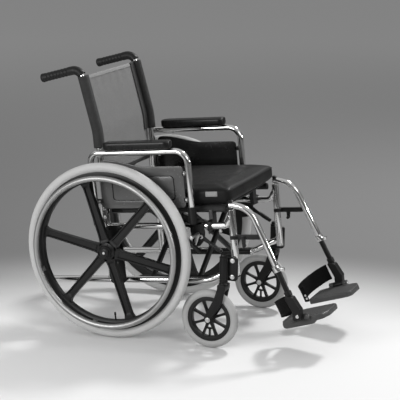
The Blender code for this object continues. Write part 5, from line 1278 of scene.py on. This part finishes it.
# The flat lever, drawn along its own droop, with a round grip.
def lockLever(label, side):
    k = lockSize
    body, pivot, droop = f"{label}_lock_lever", np.array(k["pivot"]), k["droop"]
    x0 = frameSize["half"] + frameSize["tube"] + k["leverGap"]
    ahead, over = np.array([np.cos(droop), -np.sin(droop)]), np.array([np.sin(droop), np.cos(droop)])
    outline = softOutline(pivot + np.array(k["lever"]) @ np.array([ahead, over]), 0.006, 4)
    shells = [plateShell(outline, x0, x0 + k["plate"], 0.0009, datum, side)]
    # the grip swells by a half sine and has six small waves
    start, end = k["grip"]
    run = np.linspace(start, end, 27)
    share = (run - start) / (end - start)
    path = np.insert(pivot + run[:, None] * ahead, 0, x0 + 0.006, axis=-1)
    swell = 0.0066 + 0.0014 * np.sin(np.pi * np.clip(share * 1.1, 0, 1)) + 0.0004 * np.sin(share * tau * 6)
    shells.append(tubeShell(datum(path, side), swell, 0.0030, 28))
    addPiece(f"brake_lever_{label}", shells, "blackPlastic", body, f"lock_lever_{label}")
    bolts = boltShells(datum((x0 + k["plate"], *pivot), side), (side, 0, 0), 0.0052, 0.0032)
    addPiece(f"brake_lever_bolt_{label}", bolts, "steel", body)


# The shoe's arm and its bar over the tyre, whose end is knurled.
def lockShoe(label, side):
    k, reach = lockSize, wheelSize["half"]
    x0 = frameSize["half"] + frameSize["tube"] + k["shoeGap"]
    (pivotA, pivotH), (a, h) = k["shoePivot"], k["shoe"]
    outline = softOutline([(pivotA - 0.006, pivotH - 0.005), (pivotA + 0.006, pivotH - 0.005), (a + 0.007, h),
                           (a + 0.002, h + 0.007), (a - 0.006, h + 0.004)], 0.004, 4)
    line = np.linspace(x0 + 0.001, reach + 0.014, 40)
    knurl = k["knurl"] - 0.0003 * (np.arange(40) % 2) * (line > reach - 0.016)
    path = np.stack(np.broadcast_arrays(line, a, h), -1)
    shells = [plateShell(outline, x0, x0 + k["plate"], 0.0008, datum, side),
              tubeShell(datum(path, side), knurl, 0.0008, 28, up=frameUp)]
    addPiece(f"brake_shoe_{label}", shells, "steel", f"{label}_lock_shoe", f"lock_shoe_{label}")


bothSides("locks", lockLever, lockShoe)


# Seat

seatSize = {
    "half": 0.2185, "rear": 0.006, "front": 0.4375, "top": 0.1990, "foot": 0.1403, "seam": 0.1865,
    "lowSeam": 0.157, "inner": 0.1995, "innerFront": 0.4170, "innerRear": 0.012, "set": 0.003, "corner": 0.021,
    "roll": 0.026, "crown": 0.006, "move": 0.006, "tab": (0.349, 0.395), "welt": 0.0013}
seatAnchor = tuple(datum((0.190, 0.2, 0.16)))


# A square grid pressed into a rounded rectangle: in each corner the square becomes a quarter disc by
# s' = s * sqrt(1 - t*t/2), t' = t * sqrt(1 - s*s/2).
def roundedGrid(count, x0, x1, a0, a1, radius):
    x, a = np.meshgrid(np.linspace(x0, x1, count[0]), np.linspace(a0, a1, count[1]))
    fromX, fromA = x - (x0 + x1) / 2, a - (a0 + a1) / 2
    inX = np.maximum(np.abs(fromX) - ((x1 - x0) / 2 - radius), 0) / radius
    inA = np.maximum(np.abs(fromA) - ((a1 - a0) / 2 - radius), 0) / radius
    newX, newA = inX * np.sqrt(1 - inA ** 2 / 2), inA * np.sqrt(1 - inX ** 2 / 2)
    both = (inX > 0) & (inA > 0)
    x = np.where(both, x - np.sign(fromX) * (inX - newX) * radius, x)
    a = np.where(both, a - np.sign(fromA) * (inA - newA) * radius, a)
    return x, a


# The indices round the edge of a grid, in order.
def gridEdge(columns, rows):
    index = np.arange(columns * rows).reshape(rows, columns)
    return np.concatenate([index[0, :-1], index[:-1, -1], index[-1, :0:-1], index[:0:-1, 0]])


# A cushion's skin: top and bottom grids joined by the rows of its border, which are set by a profile.
def cushionShell(s, count=(73, 71), borderRows=9):
    half, into, corner = s["half"], s["set"], s["corner"]
    topX, topA = roundedGrid(count, into - half, half - into, s["rear"] + into, s["front"] - into, corner)
    lowX, lowA = roundedGrid(count, -s["inner"], s["inner"], s["innerRear"], s["innerFront"], corner)
    edge = gridEdge(*count)
    # the top rolls up from its seam over a quarter ellipse, and crowns a little beyond it
    middle, reach = (s["rear"] + s["front"]) / 2, (s["front"] - s["rear"]) / 2
    inX = np.clip((half - into - np.abs(topX)) / s["roll"], 0, 1)
    inA = np.clip((reach - into - np.abs(topA - middle)) / s["roll"], 0, 1)
    near = np.clip(1 - np.hypot(1 - inX, 1 - inA), 0, 1)
    rise = np.sqrt(1 - (1 - near) ** 2.4)
    dome = np.cos(topX / half * np.pi / 2) * np.cos((topA - middle) / reach * np.pi / 2)
    lift = (s["top"] - s["seam"]) * rise + s["crown"] * np.clip(dome, 0, 1)
    top = np.stack([topX, topA, s["seam"] + lift], -1).reshape(-1, 3)
    low = np.stack([lowX, lowA, np.full_like(lowX, s["foot"])], -1).reshape(-1, 3)
    rows = []
    for level in np.linspace(0, 1, borderRows)[1:-1]:
        # down from the seam to the widest line, then in under the cushion
        h = s["seam"] + (s["foot"] - s["seam"]) * level
        below = np.clip((s["lowSeam"] - h) / (s["lowSeam"] - s["foot"]), 0, 1)
        row = top[edge] + (low[edge] - top[edge]) * below ** 1.4
        row[:, 2] = h
        rows.append(row)
    quads, n, m = gridQuads(count[1], count[0], False, False), len(top), len(edge)
    rings = [edge, *(2 * n + k * m + np.arange(m) for k in range(borderRows - 2)), n + edge]
    border = [np.stack([a, np.roll(a, -1), np.roll(b, -1), b], -1) for a, b in zip(rings, rings[1:])]
    return np.concatenate([top, low] + rows), [quads[:, ::-1], quads + n] + border, edge, n


# Each round, a point's move becomes half its own and half the mean of its neighbours'; sewn points stay.
def evened(shift, mesh, sewn, rounds):
    ends = np.empty(len(mesh.edges) * 2, int)
    mesh.edges.foreach_get("vertices", ends)
    ends = ends.reshape(-1, 2)
    point, neighbour = np.concatenate([ends, ends[:, ::-1]]).T
    count = np.bincount(point, minlength=len(shift))[:, None]
    for _ in range(rounds):
        total = np.stack([np.bincount(point, shift[neighbour, k], len(shift)) for k in range(3)], -1)
        shift = (shift + total / count) / 2
        shift[sewn] = 0
    return shift


# The stuffing presses a cloth skin outwards. Its moves are capped, then mixed with their evened form.
def stuffed(cushion, world, sewn):
    pins = cushion.vertex_groups.new(name="sewn")
    pins.add(sewn.tolist(), 1.0, "REPLACE")
    cloth = cushion.modifiers.new("stuffing", "CLOTH")
    settings = cloth.settings
    settings.vertex_group_mass = "sewn"
    settings.use_pressure, settings.uniform_pressure_force = True, 4.0
    settings.effector_weights.gravity = 0.0
    settings.quality, settings.mass = 6, 0.25
    settings.tension_stiffness = settings.compression_stiffness = 25.0
    settings.bending_stiffness = 1.5
    cloth.collision_settings.use_collision = False
    cloth.point_cache.frame_start, cloth.point_cache.frame_end = 1, 20
    scene = bpy.context.scene
    for step in range(1, 21):
        scene.frame_set(step)
    shaped = cushion.evaluated_get(bpy.context.evaluated_depsgraph_get()).to_mesh()
    moved = np.empty(len(shaped.vertices) * 3)
    shaped.vertices.foreach_get("co", moved)
    shift = moved.reshape(-1, 3) - world
    length = np.linalg.norm(shift, axis=-1, keepdims=True)
    shift = shift * np.minimum(1, seatSize["move"] / np.maximum(length, 1e-9))
    world = world + 0.3 * shift + 0.7 * evened(shift, cushion.data, sewn, 14)
    cushion.modifiers.remove(cloth)
    cushion.data.vertices.foreach_set("co", world.astype(np.float32).ravel())
    cushion.data.update()
    scene.frame_set(1)
    return world


# The stuffed cushion, subdivided once, with its tab and welt.
def seatCushion():
    s, body = seatSize, "cross_brace_a"
    points, faces, edge, n = cushionShell(s)
    world, faces = facingOut(datum(points), faces)
    cushion = makePiece("cushion", [(world, faces)], "seatVinyl", 60)
    world = stuffed(cushion, world, np.concatenate([edge, np.arange(n, 2 * n)]))
    finer = cushion.modifiers.new("finer", "SUBSURF")
    finer.levels = finer.render_levels = 1
    settle(cushion, body, "seat_vinyl", "seat_cushion")
    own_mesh(cushion)

    # a plain tab sewn to the right side, on the cushion's own grid
    x, along = points[edge, :2].T
    pick = np.nonzero((x < -s["half"] + 0.004) & (along > s["tab"][0]) & (along < s["tab"][1]))[0]
    grid = np.concatenate([edge[pick][None], 2 * n + np.arange(3)[:, None] * len(edge) + pick])
    rows = world[grid] + np.array([-0.0016, 0, 0])
    tab = clothPiece("cushion_tab", rows, points[grid, 1], points[grid, 2], "tabCloth", 0.0008)
    settle(tab, body, "seat_vinyl")
    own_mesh(tab)

    # the welt along the upper seam
    welt = sweptShell(datum(points[edge]), circle(s["welt"], 8), up=frameUp, closed=True)
    welt = addPiece("cushion_welt", [welt], "seatVinyl", body, sharp=60)
    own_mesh(welt)


slingSize = {"sag": 0.004, "reach": 0.188, "gap": 0.0020, "rear": 0.030, "front": 0.409, "thick": 0.0022}


# The sling's section: round the first seat rail, across with a slight sag, and round the other.
def seatSling():
    s, rail = slingSize, (-braceSize["pivot"], braceSize["top"])
    radius, reach = braceSize["railRadius"] + s["gap"], s["reach"]
    wrap = np.radians(np.linspace(205, 90, 13))
    left = radius * np.stack([np.cos(wrap), np.sin(wrap)], -1) + rail
    x = np.linspace(-reach, reach, 41)
    span = np.stack([x, rail[1] + radius - s["sag"] * (1 - (x / reach) ** 2)], -1)
    section = np.concatenate([left, span, left[::-1] * (-1, 1)])
    run, a = runAlong(section), np.linspace(s["rear"], s["front"], 40)
    rows = np.stack(np.broadcast_arrays(section[None, :, 0], a[:, None], section[None, :, 1]), -1)
    sling = clothPiece("sling", datum(rows), run[None, :], a[:, None], "blackCloth", s["thick"])
    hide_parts("seat_sling")
    start, end = (tuple(datum((x, 0.2, 0.13)).tolist()) for x in (0.165, -0.165))
    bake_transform(sling)


seatCushion()
seatSling()
print("wheelchair: seat made")


# Back upholstery

backSize = {
    "foot": 0.235, "sleeveFoot": 0.345, "head": 0.5920, "sleeve": 0.0166, "margin": 0.031, "set": 0.0095,
    "sag": 0.0035, "thick": 0.0100, "skin": 0.0009, "hemLift": 0.0008, "top": 0.590, "reach": 0.202,
    "hemReach": 0.200}
sideways = np.array([1.0, 0, 0])


# The line of the canes between two heights, in the middle plane or at x.
def caneSpan(x, low, high, count):
    c, rear = caneSize, frameSize["rearPost"]
    headA = rear - np.tan(c["lean"]) * (high - c["bendHeight"])
    corners = [(x, rear, low), (x, rear, c["bendHeight"]), (x, headA, high)]
    path, run = evenPath(bentPath(corners, [c["curve"]], 1.5), 0.0005)
    spots = np.linspace(0, run[-1], count)
    return pathAt(path, run, spots), spots


# The way that the back's front face looks at each point of a line up the canes.
def facing(line):
    up = unit(np.gradient(line, axis=0))
    return np.stack([np.zeros(len(line)), up[:, 2], -up[:, 1]], -1)[:, None]


# How far the back sags behind the canes' line, and half its thickness: the root of an edge that falls off
# by high powers of the places across and up.
def backForm(across, t):
    s = backSize
    edge = (1 - np.abs(across) ** 10) * (1 - np.abs(2 * t - 1) ** 26)[:, None]
    puff = s["thick"] / 2 * np.sqrt(np.clip(edge, 0, 1)) + s["skin"]
    sag = s["set"] + s["sag"] * (1 - across ** 2) * (0.55 + 0.45 * np.sin(np.pi * t))[:, None]
    return sag[..., None], puff[..., None]


# The padded panel between the sleeves: front and back skins that meet at the hems, with small folds that
# fade away from the foot and the top.
def backPanel():
    s = backSize
    line, run = caneSpan(0, s["foot"], s["top"], 86)
    across, t = np.linspace(-1, 1, 101), run / run[-1]
    forwards, (sag, puff) = facing(line), backForm(across, t)
    folds = 0.0011 * np.sin(across * 9.0) * np.exp(-t * 7)[:, None]
    folds = folds + 0.0007 * np.sin(across * 23 + 1.0) * np.exp(-(1 - t) * 9)[:, None]
    x = across * s["reach"]
    middle = line[:, None] + x[:, None] * sideways - forwards * (sag - folds[..., None])
    rows = np.concatenate([middle + forwards * puff, (middle - forwards * puff)[:, ::-1]], 1)
    shell = gridShell(datum(rows), caps="flat")
    panel = addPiece("back_panel", [shell], "backCloth", "right_frame", "back_upholstery", sharp=70)
    layUv(panel.data, np.stack(np.broadcast_arrays(np.concatenate([x, x[::-1]]), run[:, None]), -1))
    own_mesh(panel)


# A sleeve round a cane, with a margin sewn to the panel's face.
def backSleeve(label, side):
    s = backSize
    line, run = caneSpan(frameSize["half"], s["sleeveFoot"], s["head"], 60)
    wrap = np.radians(np.linspace(-112, 188, 44))
    around = s["sleeve"] * np.stack([np.cos(wrap), np.sin(wrap)], -1)
    share = np.linspace(0.12, 1, 10)
    flap = around[-1] + np.stack([-s["margin"] * share, -0.0002 * np.sqrt(share)], -1)
    section = np.concatenate([around, flap])
    gap = runAlong(section)
    rows = line[:, None] + section[:, :1] * sideways + section[:, 1:] * facing(line)
    rows = datum(rows, side)
    sleeve = clothPiece(f"back_sleeve_{label}", rows, gap[None, :], run[:, None], "blackCloth", 0.0016)
    settle(sleeve, f"{label}_frame", "back_cloth")


# A band along the top or the foot, just over the panel's face.
def backHem(name, low, high, finish):
    s = backSize
    share, across = np.linspace(low, high, 8), np.linspace(-1, 1, 81)
    line, run = caneSpan(0, s["foot"], s["top"], 400)
    along = share * run[-1]
    line, (sag, puff) = pathAt(line, run, along), backForm(across, share)
    x = (across * s["hemReach"])[:, None] * sideways
    rows = line[:, None] + x + facing(line) * (puff + s["hemLift"] - sag)
    u, v = across * frameSize["half"], along[:, None]
    hem = clothPiece(f"back_hem_{name}", datum(rows), u, v, finish, 0.0014)
    settle(hem, "right_frame", "back_cloth")
    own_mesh(hem)


backPanel()
for label, side in sides.items():
    backSleeve(label, side)
backHem("top", 0.964, 0.998, "hemCloth")
backHem("foot", 0.004, 0.040, "blackCloth")
print("wheelchair: back made")


# Floor, lights and camera

# the floor's pale pool round its centre is a painted pool of light, and its far tone is raised as painted
# light in place of the lamps' falloff
studio = {
    "paintedPool": 0.71, "middle": 0.175, "far": 0.43, "centre": (-0.98, -0.34), "behind": 0.235, "high": 0.60,
    "low": 0.10, "paintedLightRamps": [(1.10, 2.10, "middle"), (2.4, 9.5, "far")], "aim": (0, 0, 0.45),
    "lamps": [((2.3, -0.8, 3.2), 0.6, 98.0), ((-1.9, -3.2, 2.9), 1.6, 34.0), ((-3.5, 1.5, 1.5), 1.8, 82.0),
              ((0.9, -3.9, 1.6), 0.4, 44.0)],
    "turns": (-67.579, 13.116, 0.6036), "target": (0, -0.150, 0.450), "shift": (0.063337, -0.012590),
    "distance": 5.3272, "sensor": 36.0, "focal": 1515.5, "picture": 400}


def grey(name):
    return (*[studio[name]] * 3, 1)


# A disc of rings whose tone runs from a pale pool round a centre, which is a painted pool of light, through a
# middle tone to a far one, raised as painted light where the lamps' light falls off.
def makeFloor():
    radius, count = np.concatenate([np.linspace(0.05, 3, 30), [6, 12, 26]]), 96
    rows = radius[:, None, None] * circle(1.0, count)
    points = np.insert(np.concatenate([rows.reshape(-1, 2), [(0, 0)]]), 2, 0, axis=-1)
    first = np.arange(count)
    fan = np.stack([first, np.roll(first, -1), np.full(count, len(points) - 1)], -1)
    mesh = bpy.data.meshes.new("floor")
    mesh.from_pydata(points.tolist(), [], gridQuads(len(radius), count)[:, ::-1].tolist() + fan.tolist())
    mesh.update()
    material = bpy.data.materials.new("floorPaintedLight")
    material.use_nodes = True
    tree = material.node_tree
    shader = tree.nodes["Principled BSDF"]
    spot = addNode(tree, "TexCoord").outputs["Object"]
    away = addNode(tree, "VectorMath", {0: spot, 1: (*studio["centre"], 0)}, operation="SUBTRACT")
    run = addNode(tree, "VectorMath", {0: away.outputs[0]}, operation="LENGTH").outputs["Value"]
    colour = grey("paintedPool")
    # the pale pool and the rise to the far tone are painted light
    for low, high, tone in studio["paintedLightRamps"]:
        values = {"Value": run, "From Min": low, "From Max": high}
        share = addNode(tree, "MapRange", values, interpolation_type="SMOOTHSTEP").outputs["Result"]
        colour = addNode(tree, "Mix", {0: share, 6: colour, 7: grey(tone)}, data_type="RGBA").outputs[2]
    tree.links.new(colour, shader.inputs["Base Color"])
    shader.inputs["Roughness"].default_value = 0.9
    shader.inputs["Specular IOR Level"].default_value = 0.1
    mesh.materials.append(material)
    floor = linked("floor", mesh)


# The room is brighter overhead than at the level of the eye; the camera sees one plain grey.
def makeLights():
    world = bpy.data.worlds.new("studio")
    bpy.context.scene.world = world
    world.use_nodes = True
    tree = world.node_tree
    tree.nodes.clear()
    rays = addNode(tree, "LightPath").outputs
    seen = addMath(tree, "MAXIMUM", rays["Is Camera Ray"], rays["Is Transmission Ray"])
    way = addNode(tree, "TexCoord").outputs["Generated"]
    height = addNode(tree, "SeparateXYZ", {0: way}).outputs["Z"]
    low, high = studio["low"], studio["high"]
    values = {"Value": height, "From Min": 0.05, "From Max": 0.75, "To Min": low, "To Max": high}
    level = addNode(tree, "MapRange", values, interpolation_type="SMOOTHSTEP").outputs["Result"]
    glow = addNode(tree, "Background", {"Color": (1, 1, 1, 1), "Strength": level})
    back = addNode(tree, "Background", {"Color": grey("behind"), "Strength": 1.0})
    mix = addNode(tree, "MixShader", {0: seen, 1: glow.outputs[0], 2: back.outputs[0]})
    addNode(tree, "OutputWorld", {"Surface": mix.outputs[0]})
    for i, (spot, size, power) in enumerate(studio["lamps"]):
        light = bpy.data.lights.new(f"softbox{i}", "AREA")
        light.shape, light.size, light.energy = "DISK", size, power
        lamp = linked(light.name, light)
        lamp.location = spot
        lamp.visible_camera = False
        lamp.rotation_euler = (Vector(studio["aim"]) - Vector(spot)).to_track_quat("-Z", "Y").to_euler()


# The camera stands back from the target along its own axis, then is rolled a little.
def makeCamera():
    azimuth, elevation, roll = np.radians(studio["turns"])
    flat = np.cos(elevation)
    back = np.array([np.sin(azimuth) * flat, -np.cos(azimuth) * flat, np.sin(elevation)])
    level = unit(np.cross(-back, (0, 0, 1)))
    over = np.cross(level, -back)
    right = np.cos(roll) * level + np.sin(roll) * over
    up = -np.sin(roll) * level + np.cos(roll) * over
    shiftRight, shiftUp = studio["shift"]
    target = np.array(studio["target"]) + (0, axleY, 0) + shiftRight * right + shiftUp * up
    lens = bpy.data.cameras.new("camera")
    lens.sensor_width, lens.lens = studio["sensor"], studio["focal"] * studio["sensor"] / studio["picture"]
    lens.clip_end = 100
    camera = linked("camera", lens)
    place = np.stack([right, up, back, target + studio["distance"] * back], -1)
    camera.matrix_world = Matrix([*place.tolist(), (0, 0, 0, 1)])
    bpy.context.scene.camera = camera


makeFloor()
makeLights()
makeCamera()
bpy.context.scene.view_settings.view_transform = "Standard"
print("wheelchair: scene ready")
